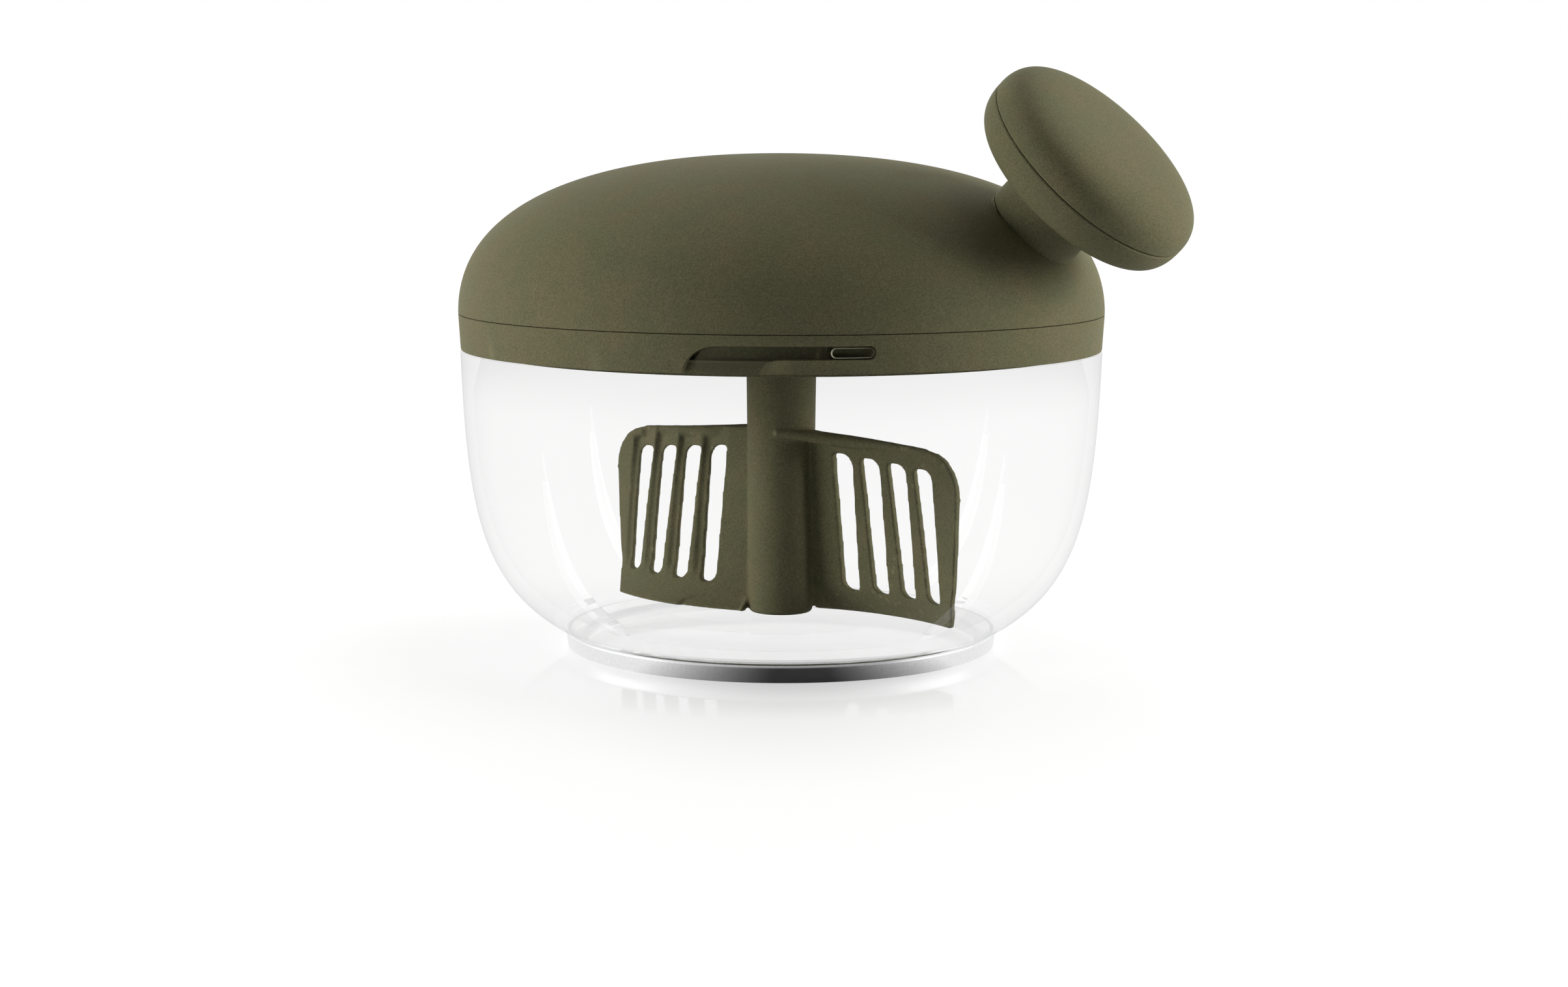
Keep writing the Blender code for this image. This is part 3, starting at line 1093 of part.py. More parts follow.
def make_blade(name, matrix):
    """One curved blade: a sheet with its own outline, then given its thickness."""
    rows = blade_rows()
    top = BLADE_TOP - BLADE_TOP_SLOPE * BLADE_REACH
    columns = 6
    root = 0.0010
    shape = bmesh.new()
    grid = []
    for height, reach in rows:
        line = []
        for k in range(columns + 1):
            out = root + (reach - root) * k / columns
            share = max(0.0, (height - SLOT_BOTTOM) / (top - SLOT_BOTTOM))
            level = height + share * BLADE_TOP_SLOPE * (BLADE_REACH - out)
            line.append(shape.verts.new((out, blade_offset(out, level), level)))
        grid.append(line)
    for low, high in zip(grid, grid[1:]):
        for k in range(columns):
            shape.faces.new((low[k], low[k + 1], high[k + 1], high[k]))
    mesh = bpy.data.meshes.new(name)
    shape.to_mesh(mesh)
    shape.free()
    blade = add_object(name, mesh, matrix=matrix)
    skin = blade.modifiers.new("thickness", "SOLIDIFY")
    skin.thickness = BLADE_WALL
    skin.offset = 0.0
    return blade


def make_lip(name, matrix):
    """Rounded lip that runs from the hub's front into the blade's top edge."""
    steps = 6
    path = []
    for k in range(steps + 1):
        share = k / steps
        side = LIP_FORWARD * share - LIP_SETBACK * (1.0 - share) ** 4
        swell = 0.5 + 1.7 * share * (1.0 - share) + 0.1 * share
        path.append((LIP_START + LIP_LENGTH * share, side, LIP_RADIUS * swell))
    rings = []
    for index, (out, side, radius) in enumerate(path):
        before = path[max(index - 1, 0)]
        after = path[min(index + 1, steps)]
        heading = math.atan2(after[1] - before[1], after[0] - before[0])
        level = BLADE_TOP - BLADE_TOP_SLOPE * out - radius + 0.0002
        ring = []
        for k in range(6):
            angle = math.tau * k / 6
            across = radius * math.cos(angle)
            ring.append((out - across * math.sin(heading), side + across * math.cos(heading),
                         level + radius * math.sin(angle)))
        rings.append(ring)
    return loft(name, rings, matrix=matrix)


def slot_outline(index):
    """A slot's outline, as (reach, height): a slanted taper with round ends."""
    share = index / (SLOT_COUNT - 1)
    top_x = SLOT_TOP_FIRST + (BLADE_REACH - SLOT_TOP_LAST - SLOT_TOP_FIRST) * share
    bottom_x = SLOT_BOTTOM_FIRST + (BLADE_REACH - SLOT_BOTTOM_LAST - SLOT_BOTTOM_FIRST) * share
    top_z = SLOT_TOP - SLOT_TOP_FALL * index
    steps = 3
    points = []
    for x, z, width, turn in ((top_x, top_z, SLOT_TOP_WIDTH, 0.0),
                              (bottom_x, SLOT_BOTTOM, SLOT_BOTTOM_WIDTH, 180.0)):
        radius = width / 2
        centre = z - radius if turn == 0.0 else z + radius
        for k in range(steps + 1):
            angle = math.radians(turn + 180.0 * k / steps)
            points.append((x + radius * math.cos(angle), centre + radius * math.sin(angle)))
    return points


def make_mixing_tool(parent, olive):
    """Hub with two curved slotted blades, a hexagonal socket above and a bore for the stud."""
    profile = [(0.0, HUB_TOP), (HUB_TOP_RADIUS - 0.0004, HUB_TOP), (HUB_TOP_RADIUS, HUB_TOP - 0.0004),
               (HUB_FOOT_RADIUS, HUB_BOTTOM + 0.0008), (HUB_FOOT_RADIUS - 0.0003, HUB_BOTTOM + 0.0002),
               (HUB_FOOT_RADIUS - 0.0009, HUB_BOTTOM), (0.0, HUB_BOTTOM)]
    tool = turned("mixing_tool", profile, MID_FACETS, closed=False, parent=parent, material=olive)
    upright = Matrix(((1, 0, 0, 0), (0, 0, -1, 0), (0, 1, 0, 0), (0, 0, 0, 1)))
    for side in range(2):
        frame = turn_z(BLADE_AZIMUTH + 180.0 * side)
        fuse(tool, make_blade(f"tool_blade_{side + 1}", frame))
        fuse(tool, make_lip(f"tool_lip_{side + 1}", frame))
        for index in range(SLOT_COUNT):
            cutter = prism(f"tool_slot_{side + 1}_{index + 1}", slot_outline(index),
                           -0.0140, 0.0060, matrix=frame @ upright)
            cut(tool, cutter)
    socket_bottom = DRIVE_HEX_BOTTOM - SEAT_GAP
    cut(tool, prism("tool_socket", hexagon(DRIVE_HEX + 2 * SEAT_GAP), socket_bottom, HUB_TOP + PAST))
    cut(tool, rod("tool_stud_bore", STUD_RADIUS + 2 * RUN_GAP, HUB_BOTTOM - PAST,
                  FLOOR_TOP + STUD_LENGTH + PAST, SMALL_FACETS))
    return tool


def main():
    """Build every sub-part under the pivot that it turns with."""
    bowl_axis = pivot("bowl_root")
    lid_axis = pivot("lid_pivot", bowl_axis)
    dome_axis = pivot("dome_pivot", lid_axis)
    knob_axis = pivot("knob_pivot", dome_axis, knob_matrix())
    tool_axis = pivot("tool_pivot", lid_axis)
    planet_axes = []
    for index in range(PLANET_COUNT):
        centre = planet_place(index).translation
        planet_axes.append(pivot(f"planet_pivot_{index + 1}", lid_axis, Matrix.Translation(centre)))

    steel = finish_material("steel_turned", STEEL, 0.3, 1.0)
    make_bowl(bowl_axis)
    make_foot_ring(bowl_axis)
    make_lid_ring(lid_axis, finish_material("lid_olive", OLIVE, 0.55))
    make_lid_seal(lid_axis)
    make_gear_plate(lid_axis)
    make_spindle_bush(lid_axis)
    make_planet_pins(lid_axis, steel)
    make_plate_screws(lid_axis, steel)
    make_dome(dome_axis, finish_material("dome_olive", OLIVE, 0.55))
    make_ring_gear(dome_axis)
    make_retaining_ring(dome_axis)
    make_glide_ring(dome_axis)
    make_dome_screws(dome_axis, steel)
    dome_side = pivot("knob_axle_pivot", dome_axis, knob_matrix())
    make_knob_axle(dome_side, steel)
    make_axle_washer(dome_side, steel)
    make_axle_screw(dome_side, steel)
    knob_olive = finish_material("knob_olive", OLIVE, 0.55)
    make_knob_base(knob_axis, knob_olive)
    make_knob_cap(knob_axis, knob_olive)
    make_knob_bush(knob_axis)
    make_planet_gears(planet_axes)
    make_sun_gear(tool_axis)
    make_drive_spindle(tool_axis, steel)
    make_spindle_clip(tool_axis, steel)
    make_mixing_tool(tool_axis, finish_material("tool_olive", OLIVE, 0.55))


main()
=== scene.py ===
"""Looks of a hand cranked food chopper: clear bowl, olive lid and dome, knob and slotted paddle.

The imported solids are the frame. Every size below comes from them or is named here, in metres.
"""

import json
import math

import bmesh
import bpy
from bpy.props import FloatProperty, FloatVectorProperty, IntProperty, PointerProperty, StringProperty
from mathutils import Matrix, Vector


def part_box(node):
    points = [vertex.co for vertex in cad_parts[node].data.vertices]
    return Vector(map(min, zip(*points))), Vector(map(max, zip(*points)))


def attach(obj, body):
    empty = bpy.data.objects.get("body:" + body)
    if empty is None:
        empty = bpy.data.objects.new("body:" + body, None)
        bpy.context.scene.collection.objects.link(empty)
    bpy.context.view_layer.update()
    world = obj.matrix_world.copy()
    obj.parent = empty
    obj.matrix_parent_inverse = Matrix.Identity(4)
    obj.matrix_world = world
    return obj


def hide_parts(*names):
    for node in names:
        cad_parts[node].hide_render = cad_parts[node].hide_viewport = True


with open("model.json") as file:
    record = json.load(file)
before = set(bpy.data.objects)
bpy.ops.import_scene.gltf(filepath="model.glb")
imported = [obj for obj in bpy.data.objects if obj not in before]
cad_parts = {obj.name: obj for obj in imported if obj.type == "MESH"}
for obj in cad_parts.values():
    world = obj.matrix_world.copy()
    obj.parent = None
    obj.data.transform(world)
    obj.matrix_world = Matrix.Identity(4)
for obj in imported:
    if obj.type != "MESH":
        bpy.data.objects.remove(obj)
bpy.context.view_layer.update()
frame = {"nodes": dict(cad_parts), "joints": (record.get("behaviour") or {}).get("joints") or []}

bl_info = {
    "name": "Food Chopper Looks",
    "version": (1, 0, 0),
    "blender": (4, 5, 0),
    "location": "3D View > Sidebar > Food Chopper",
    "description": "Surfaces, finishes and studio for a hand cranked food chopper",
    "category": "Object",
}

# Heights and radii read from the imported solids
FOOT_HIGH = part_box("foot_ring")[1]
BOWL_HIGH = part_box("bowl")[1]
RING_LOW, RING_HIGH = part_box("lid_ring")
DOME_LOW, DOME_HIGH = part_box("dome_cover")
HUB_LOW, HUB_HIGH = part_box("mixing_tool")
DOME_WEB = 0.0023            # the dome's inner web, which lies on the glide ring
WEB_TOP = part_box("glide_ring")[1].z + DOME_WEB
JOINTS = {joint["name"]: joint for joint in frame["joints"]}
KNOB_SEAT = Vector(JOINTS["knob_spin"]["pos_m"])
KNOB_AXIS = Vector(JOINTS["knob_spin"]["axis"]).normalized()

GAP = 0.0003                 # between fixed pieces
PAST = 0.0010                # how far a cutter passes a face
FOOT_RADIUS = FOOT_HIGH.x
FOOT_BAND = FOOT_HIGH.z
RING_BOTTOM = RING_LOW.z
RING_TOP = RING_HIGH.z
LID_RADIUS = RING_HIGH.x
DOME_BOTTOM = DOME_LOW.z
DOME_TOP = DOME_HIGH.z
RIM_TOP = BOWL_HIGH.z

# Bowl
LID_DRAFT = 0.0005
SKIRT_WALL = 0.0021
RIM_PLAY = 0.00035
RIM_WALL = 0.0022
BOWL_WALL = 0.0026
SHOULDER_DROP = 0.0047
STEP_DROP = 0.0112           # the inner wall starts to step in this far below the shoulder
FLOOR_RISE = 0.0021
FLOOR_WALL = 0.0030
FOOT_WALL = 0.0015
FOOT_SOLE = 0.0013
FOOT_WIDTH = 0.0053
FLOOR_INSET = 0.0048
LID_FOOT_RADIUS = LID_RADIUS - LID_DRAFT
BOWL_RADIUS = LID_FOOT_RADIUS + 0.0001
RIM_RADIUS = LID_FOOT_RADIUS - SKIRT_WALL - RIM_PLAY
RIM_INNER = RIM_RADIUS - RIM_WALL
SHOULDER_TOP = RING_BOTTOM - GAP
SHOULDER_EDGE = 0.0004
INSIDE_TOP = SHOULDER_TOP - SHOULDER_DROP
FLOOR_TOP = FOOT_BAND + FLOOR_RISE
FLOOR_RADIUS = FOOT_RADIUS - FLOOR_INSET
LEDGE = FOOT_BAND + GAP
HIGH_PULL = (BOWL_RADIUS - 0.00117, SHOULDER_TOP - SHOULDER_EDGE - 0.03612)
LOW_PULL = (BOWL_RADIUS - 0.00397, LEDGE + 0.01146)
BOWL_ROOT = (FOOT_RADIUS + 0.00178, LEDGE + 0.0008)
STUD_RADIUS = 0.0026
STUD_LENGTH = 0.0088
RIB_COUNT = 4
RIB_FIRST_AZIMUTH = -47.0
RIB_TOP = RING_BOTTOM - 0.0160
RIB_DEPTH = 0.0045
RIB_WIDTH = 0.0045
RIB_TIP_WIDTH = 0.0010
RIB_PLAY = 0.0006

# Bayonet, by arc length round the lid ring from straight ahead
LUG_COUNT = 3
LUG_LENGTH = 0.00935
LUG_HEIGHT = 0.0023
LUG_ARC = 0.01515
LUG_MIDDLE = RING_BOTTOM + 0.00445
LUG_SINK = 0.0003
CHANNEL_BOTTOM = LUG_MIDDLE - LUG_HEIGHT / 2 - GAP
CHANNEL_TOP = LUG_MIDDLE + LUG_HEIGHT / 2 + GAP
ENTRY_ARC = 0.0209
ENTRY_CURVE = 0.0075
TONGUE_CURVE = 0.0045

# Lid ring
DECK_WALL = 0.0016
DECK_UNDERSIDE = RING_TOP - DECK_WALL
PLUG_RADIUS = RIM_INNER - 0.00165
PLUG_WALL = 0.0016
PLUG_INNER = PLUG_RADIUS - PLUG_WALL
PLATE_BOTTOM = RING_BOTTOM + 0.0004
PLATE_TOP = PLATE_BOTTOM + 0.0018
PLUG_BOTTOM = RING_BOTTOM - 0.0010   # seen through the slot, the plug fills it down to the ring's foot
GROOVE_BOTTOM = PLATE_BOTTOM + 0.0006
SEAL_HEIGHT = 0.0018
SEAL_GROOVE = 0.0008
SEAL_FIT = 0.00005           # the groove closes on the seal, so no dark line shows in the slot
SCREW_CIRCLE = PLUG_INNER - 0.0030
SCREW_BOSS_RADIUS = 0.0024
SCREW_HOLE_RADIUS = 0.00135
SCREW_AZIMUTH = 150.0
DECK_INNER_RADIUS = SCREW_CIRCLE - SCREW_BOSS_RADIUS - 0.0032
SKIRT_RIB_ARC = 0.0085
SKIRT_RIB_WIDTH = 0.0019
SKIRT_RIB_DEPTH = 0.0010

# Dome
DOME_SHOULDER = RING_TOP + 0.02444
DOME_CROWN_RADIUS = LID_RADIUS - 0.0287
DOME_WALL = 0.0024
DOME_EDGE_ROUND = 0.0001
DOME_HANG = 0.00014             # the edge hangs this much lower, for a seam as fine as in the photograph
EAR_CIRCLE = 0.0510
DOME_BOSS_RADIUS = 0.0032
DOME_SCREW_HOLE = 0.00155
DOME_SCREW_BITE = 0.0100
DOME_SCREW_AZIMUTH = 27.0
KNOB_BOSS_RADIUS = 0.0062
KNOB_BOSS_DEPTH = 0.0095
AXLE_HOLE = 0.0033

# Paddle
HUB_TOP = HUB_HIGH.z
HUB_BOTTOM = HUB_LOW.z
HUB_TOP_RADIUS = 0.00825
HUB_FOOT_RADIUS = 0.00750
BLADE_AZIMUTH = -37.0
BLADE_ROOT = 0.0052          # the blade starts inside the hub
BLADE_MARGIN = 0.0126
BLADE_LOW_MARGIN = 0.0030
BLADE_CORNER = 0.0100
BLADE_TOP = HUB_TOP - 0.0166
BLADE_TOP_SLOPE = 0.070
BLADE_WALL = 0.0019
BELLY_LOW = 0.0049
BELLY_HIGH = 0.0020
BELLY_MIDDLE = 0.0210
BELLY_SPREAD = 0.0240
SWEEP_TOP = HUB_BOTTOM + 0.0081
SWEEP_DEPTH = 0.0047
BLADE_SIDE = SWEEP_TOP + 0.0050
BLADE_EDGE = HUB_BOTTOM + 0.0002
SLOT_COUNT = 4
SLOT_TOP = BLADE_TOP - 0.0056
SLOT_BOTTOM = HUB_BOTTOM + 0.0060
SLOT_TOP_FIRST = 0.0168
SLOT_TOP_LAST = 0.0110
SLOT_BOTTOM_FIRST = 0.0177
SLOT_BOTTOM_LAST = 0.0071
SLOT_TOP_WIDTH = 0.0053
SLOT_BOTTOM_WIDTH = 0.0044
SLOT_TOP_FALL = 0.0006
SLOT_CUT = (-0.0140, 0.0060)  # a slot's cutter reaches this far to both sides of the blade
FLUTE_DEPTH = 0.0011
FLUTE_LIFT = 0.0002
CUT_ROOF = 0.0030            # a cutter on the blade's back face stands out of it this far
RECESS_START = 0.0060
RECESS_LENGTH = 0.0170
RECESS_DEPTH = 0.0008
SCALLOP = ((-0.0036, 0.0), (-0.0030, 0.14), (-0.0015, 0.34), (0.0, 0.56), (0.0015, 0.80), (0.0026, 0.97),
           (0.0032, 1.0), (0.0038, 0.85), (0.0043, 0.42), (0.0046, 0.0))   # across the slot, depth
LIP_START = 0.0036
LIP_FRONT = 0.0070
LIP_RADIUS = 0.0012
SOCKET_FLATS = 0.0076
SOCKET_DEPTH = 0.0184
STUD_BORE = 0.0031

# Knob, along its own axis from its seat
NECK_RADIUS = 0.01119
NECK_TOP_RADIUS = 0.01298
NECK_HEIGHT = 0.00849
KNOB_RADIUS = 0.02678
KNOB_PARTING = 0.01816
KNOB_HEIGHT = 0.02732
KNOB_UNDER_PULL = 0.01027
KNOB_EDGE_PULL = 0.00652
CAP_EDGE_PULL = 0.00875
CAP_CROWN_PULL = 0.01795
KNOB_WALL = 0.0022
KNOB_SEAM = 0.0002
KNOB_PLUG = 0.0016
KNOB_PLUG_WALL = 0.0014
KNOB_BORE = 0.00475
KNOB_BOSS = 0.00675
KNOB_BOSS_TOP = 0.0140
KNOB_SKIRT = 0.0011          # the neck's rim hangs this far over its seat
KNOB_SKIRT_BORE = 0.0085

# Studio, and the camera at the photograph's angle
DARK_CARD = (0.26, -0.96, 0.05)     # direction of the dark card in reflections
FLOOR_CARD = (0.096, -0.995, 0.0)   # and where its painted image lies on the table, seen only in reflections
LIGHT_TARGET = (0.0, 0.0, 0.07)     # the softboxes face this point
PAINTED_SHADOW_PLACE = (0.0, -0.075, 0.0)    # middle of the painted shadow on the table, a grey patch in front of the foot
PAINTED_SHADOW_SCALE = (8.0, 4.8, 0.0)       # it ends 1/8 m away sideways and 1/4.8 m away to the front
PAINTED_SHADOW_DARK = 0.73                   # brightness of its middle
PAINTED_SHADOW_LIGHT = 0.865                 # and of the table round it
PAINTED_SHADOW_RISE = ((0.13, 0.75), (0.25, 0.78), (0.37, 0.81), (0.54, 0.82), (0.72, 0.835), (0.84, 0.85))
CAMERA_PLACE = (0.000693, -0.649488, 0.1214941)
CAMERA_DIP = 0.1318          # radians below level
CAMERA_ROLL = 0.0026
CAMERA_LENS = 63.866         # mm on a 36 mm sensor, for a frame of 2408 by 1515


def linear(code):
    """A hex colour as seen on screen, as linear light."""
    values = []
    for start in (1, 3, 5):
        seen = int(code[start:start + 2], 16) / 255.0
        values.append(seen / 12.92 if seen <= 0.04045 else ((seen + 0.055) / 1.055) ** 2.4)
    return (*values, 1.0)


def per_mm(size):
    """The scale of a pattern whose features are this many millimetres across."""
    return 1000.0 / size


class ChopperFinish(bpy.types.PropertyGroup):
    """Colours and surface sizes that a user would change."""

    olive: StringProperty(name="Olive", description="Colour of the moulded shells", default="#6B6950")
    dark_olive: StringProperty(name="Dark olive", description="Colour of the gear plate",
                               default="#4C4936")
    grain: FloatProperty(name="Grain", description="Width of one grain of the mould texture",
                         default=0.35, min=0.1, max=2.0)
    edge: FloatProperty(name="Edge round", description="Radius on the shells' edges", default=0.0004,
                        min=0.0, unit="LENGTH")
    voxel: FloatProperty(name="Paddle voxel", description="Size of the paddle's skin before smoothing",
                         default=0.00042, min=0.0003, unit="LENGTH")
    facets: IntProperty(name="Turned steps", description="Steps round a turned piece", default=160,
                        min=24)


class ChopperStudio(bpy.types.PropertyGroup):
    """Lights of the studio."""

    left: FloatProperty(name="Left softbox", description="Power of the left softbox", default=7.3,
                        min=0.0, unit="POWER")
    right: FloatProperty(name="Right softbox", description="Power of the right softbox", default=8.6,
                         min=0.0, unit="POWER")
    top: FloatProperty(name="Overhead", description="Power of the overhead softbox", default=4.3,
                       min=0.0, unit="POWER")
    fill: FloatProperty(name="Fill", description="Light from all round", default=0.085, min=0.0)
    tint: FloatVectorProperty(name="Light colour", description="Colour of the softboxes",
                              default=(1.0, 0.99, 0.97), subtype="COLOR")


# Outlines
def bezier(start, pull_a, pull_b, end, steps):
    """Points along a cubic curve, both ends included."""
    points = []
    for index in range(steps + 1):
        t = index / steps
        s = 1.0 - t
        weights = (s ** 3, 3 * s * s * t, 3 * s * t * t, t ** 3)
        sources = (start, pull_a, pull_b, end)
        points.append(tuple(sum(w * p[axis] for w, p in zip(weights, sources)) for axis in (0, 1)))
    return points


def radius_on_curve(curve, height):
    """The radius of a profile at a height."""
    for (r0, z0), (r1, z1) in zip(curve, curve[1:]):
        if min(z0, z1) <= height <= max(z0, z1) and z0 != z1:
            return r0 + (r1 - r0) * (height - z0) / (z1 - z0)
    return curve[-1][0]


def arc(x, y, across, up, begin, end, steps):
    """Points along an elliptic arc between two angles in degrees, both ends included."""
    angles = [math.radians(begin + (end - begin) * k / steps) for k in range(steps + 1)]
    return [(x + across * math.cos(angle), y + up * math.sin(angle)) for angle in angles]


def rounded(corners, steps=4):
    """An outline of (x, y, round) corners, with an arc in place of each corner that has a round."""
    points = []
    for index, (x, y, size) in enumerate(corners):
        here = Vector((x, y))
        if size == 0.0:
            points.append((x, y))
            continue
        back = (Vector(corners[index - 1][:2]) - here).normalized()
        ahead = (Vector(corners[(index + 1) % len(corners)][:2]) - here).normalized()
        half = back.angle(ahead) / 2
        centre = here + (back + ahead).normalized() * size / math.sin(half)
        first = here + back * size / math.tan(half) - centre
        last = here + ahead * size / math.tan(half) - centre
        begin = math.degrees(math.atan2(first.y, first.x))
        turn = (math.degrees(math.atan2(last.y, last.x)) - begin + 180.0) % 360.0 - 180.0
        points += arc(centre.x, centre.y, size, size, begin, begin + turn, steps)
    return points


def plain(points):
    """Curve points as corners without a round."""
    return [(x, y, 0.0) for x, y in points]


def stadium(length, height):
    """A slot outline with half-round ends, centred on the origin."""
    end = height / 2
    centre = length / 2 - end
    return arc(centre, 0.0, end, end, -90, 90, 10) + arc(-centre, 0.0, end, end, 90, 270, 10)


# Shapes
def new_object(name, shape):
    """Turn a bmesh into an object at the origin."""
    mesh = bpy.data.meshes.new(name)
    shape.to_mesh(mesh)
    shape.free()
    made = bpy.data.objects.new(name, mesh)
    bpy.context.scene.collection.objects.link(made)
    return made


def placed(shape, matrix):
    """A bmesh moved by a matrix, or left where it is without one."""
    if matrix is not None:
        bmesh.ops.transform(shape, matrix=matrix, verts=shape.verts[:])
    return shape


def close_up(shape):
    """Merge what meets, and turn every face outwards."""
    bmesh.ops.remove_doubles(shape, verts=shape.verts[:], dist=0.000002)
    bmesh.ops.recalc_face_normals(shape, faces=shape.faces[:])


def turned(name, profile, closed=False, matrix=None, facets=None):
    """A turned piece from a profile of (radius, height)."""
    shape = bmesh.new()
    corners = [shape.verts.new((radius, 0.0, height)) for radius, height in profile]
    edges = [shape.edges.new(pair) for pair in zip(corners, corners[1:])]
    if closed:
        edges.append(shape.edges.new((corners[-1], corners[0])))
    bmesh.ops.spin(shape, geom=corners + edges, axis=(0, 0, 1), cent=(0, 0, 0), angle=math.tau,
                   steps=facets or bpy.context.scene.chopper_finish.facets, use_merge=True)
    close_up(shape)
    return new_object(name, placed(shape, matrix))


def rod(radius, low, high, matrix=None, facets=48):
    """A plain cylinder along local Z, as a bmesh."""
    shape = bmesh.new()
    bmesh.ops.create_cone(shape, cap_ends=True, segments=facets, radius1=radius, radius2=radius,
                          depth=high - low)
    place = Matrix.Translation((0.0, 0.0, (high + low) / 2))
    place = place @ Matrix.Rotation(math.pi / facets / 2, 4, "Z")
    return placed(shape, place if matrix is None else matrix @ place)


def slab(outline, low, high, matrix=None):
    """A flat outline in local XY, extruded along local Z, as a bmesh."""
    shape = bmesh.new()
    face = shape.faces.new([shape.verts.new((x, y, low)) for x, y in outline])
    grown = bmesh.ops.extrude_face_region(shape, geom=[face])
    risen = [item for item in grown["geom"] if isinstance(item, bmesh.types.BMVert)]
    bmesh.ops.translate(shape, verts=risen, vec=(0.0, 0.0, high - low))
    bmesh.ops.recalc_face_normals(shape, faces=shape.faces[:])
    return placed(shape, matrix)


def skin(rings, matrix):
    """A closed skin bridged over rings that have the same number of corners, as a bmesh."""
    shape = bmesh.new()
    loops = []
    for ring in rings:
        corners = [shape.verts.new(point) for point in ring]
        loops.append([shape.edges.new((corners[i - 1], corners[i])) for i in range(len(corners))])
    for near, far in zip(loops, loops[1:]):
        bmesh.ops.bridge_loops(shape, edges=near + far)
    bmesh.ops.holes_fill(shape, edges=loops[0] + loops[-1], sides=0)
    bmesh.ops.recalc_face_normals(shape, faces=shape.faces[:])
    return placed(shape, matrix)


def together(name, shapes):
    """Several bmeshes as one object."""
    whole = bmesh.new()
    for shape in shapes:
        mesh = bpy.data.meshes.new("part")
        shape.to_mesh(mesh)
        shape.free()
        whole.from_mesh(mesh)
        bpy.data.meshes.remove(mesh)
    return new_object(name, whole)


def apply_modifiers(target):
    """Make the modifiers' result the object's own mesh."""
    graph = bpy.context.evaluated_depsgraph_get()
    mesh = bpy.data.meshes.new_from_object(target.evaluated_get(graph))
    old = target.data
    target.modifiers.clear()
    target.data = mesh
    mesh.name = target.name
    bpy.data.meshes.remove(old)
    return target


def combine(target, tool, operation):
    """Join or cut with another object, which is used up."""
    step = target.modifiers.new("boolean", "BOOLEAN")
    step.operation = operation
    step.solver = "EXACT"
    step.object = tool
    apply_modifiers(target)
    bpy.data.objects.remove(tool, do_unlink=True)
    return target


def boolean(target, shapes, operation):
    """Join or cut with several closed bodies at once."""
    return combine(target, together("tool", shapes), operation)


def shade(piece, angle=32.0):
    """Smooth shading, broken at sharp edges."""
    piece.data.shade_smooth()
    piece.data.set_sharp_from_angle(angle=math.radians(angle))
    return piece


def dress(piece, material, body, slot, *nodes):
    """Give a finished piece its material and its place in the frame."""
    if not piece.data.polygons:
        raise RuntimeError(f"{piece.name} came out empty")
    piece.data.materials.clear()
    piece.data.materials.append(material)
    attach(piece, body)
    if nodes:
        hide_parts(*nodes)
    return piece


def turn_z(degrees):
    """A turn about Z."""
    return Matrix.Rotation(math.radians(degrees), 4, "Z")


def around(degrees, radius):
    """A place at this azimuth and distance from the axis."""
    return turn_z(degrees) @ Matrix.Translation((radius, 0.0, 0.0))


def knob_matrix():
    """Local Z along the knob's axis, from its seat on the dome."""
    return Matrix.Translation(KNOB_SEAT) @ KNOB_AXIS.to_track_quat("Z", "Y").to_matrix().to_4x4()


def wrap(shape, middle_arc, index, spacing=0.0012):
    """Bend a flat bmesh of (arc, height, radius) round the lid, for one of the three lugs."""
    low = min(corner.co.x for corner in shape.verts)
    high = max(corner.co.x for corner in shape.verts)
    count = int((high - low) / spacing)
    for k in range(1, count):
        place = low + (high - low) * k / count
        bmesh.ops.bisect_plane(shape, geom=shape.verts[:] + shape.edges[:] + shape.faces[:],
                               dist=0.000001, plane_co=(place, 0, 0), plane_no=(1, 0, 0))
    turn = 2 * math.pi * index / LUG_COUNT - math.pi / 2
    for corner in shape.verts:
        angle = turn + (corner.co.x + middle_arc) / LID_FOOT_RADIUS
        corner.co = (corner.co.z * math.cos(angle), corner.co.z * math.sin(angle), corner.co.y)
    bmesh.ops.recalc_face_normals(shape, faces=shape.faces[:])
    return shape


# Bowl
BOWL_OUTSIDE = bezier((BOWL_RADIUS, SHOULDER_TOP - SHOULDER_EDGE), HIGH_PULL, LOW_PULL, BOWL_ROOT, 56)
BOWL_INSIDE = bezier((FLOOR_RADIUS, FLOOR_TOP), (LOW_PULL[0] - BOWL_WALL + GAP, LOW_PULL[1] + GAP),
                     (HIGH_PULL[0] - BOWL_WALL, HIGH_PULL[1]), (BOWL_RADIUS - BOWL_WALL, INSIDE_TOP), 48)
STEP_START = SHOULDER_TOP - STEP_DROP
STEP_RADIUS = radius_on_curve(BOWL_INSIDE, STEP_START)
RIM_STEP = bezier((STEP_RADIUS, STEP_START), (STEP_RADIUS + 0.0001, STEP_START + 0.0044),
                  (RIM_INNER, SHOULDER_TOP - 0.0046), (RIM_INNER, SHOULDER_TOP - 0.0002), 24)
BLADE_REACH = radius_on_curve(BOWL_INSIDE, BLADE_SIDE) - BLADE_MARGIN
BLADE_LOW_REACH = radius_on_curve(BOWL_INSIDE, BLADE_EDGE) - BLADE_LOW_MARGIN


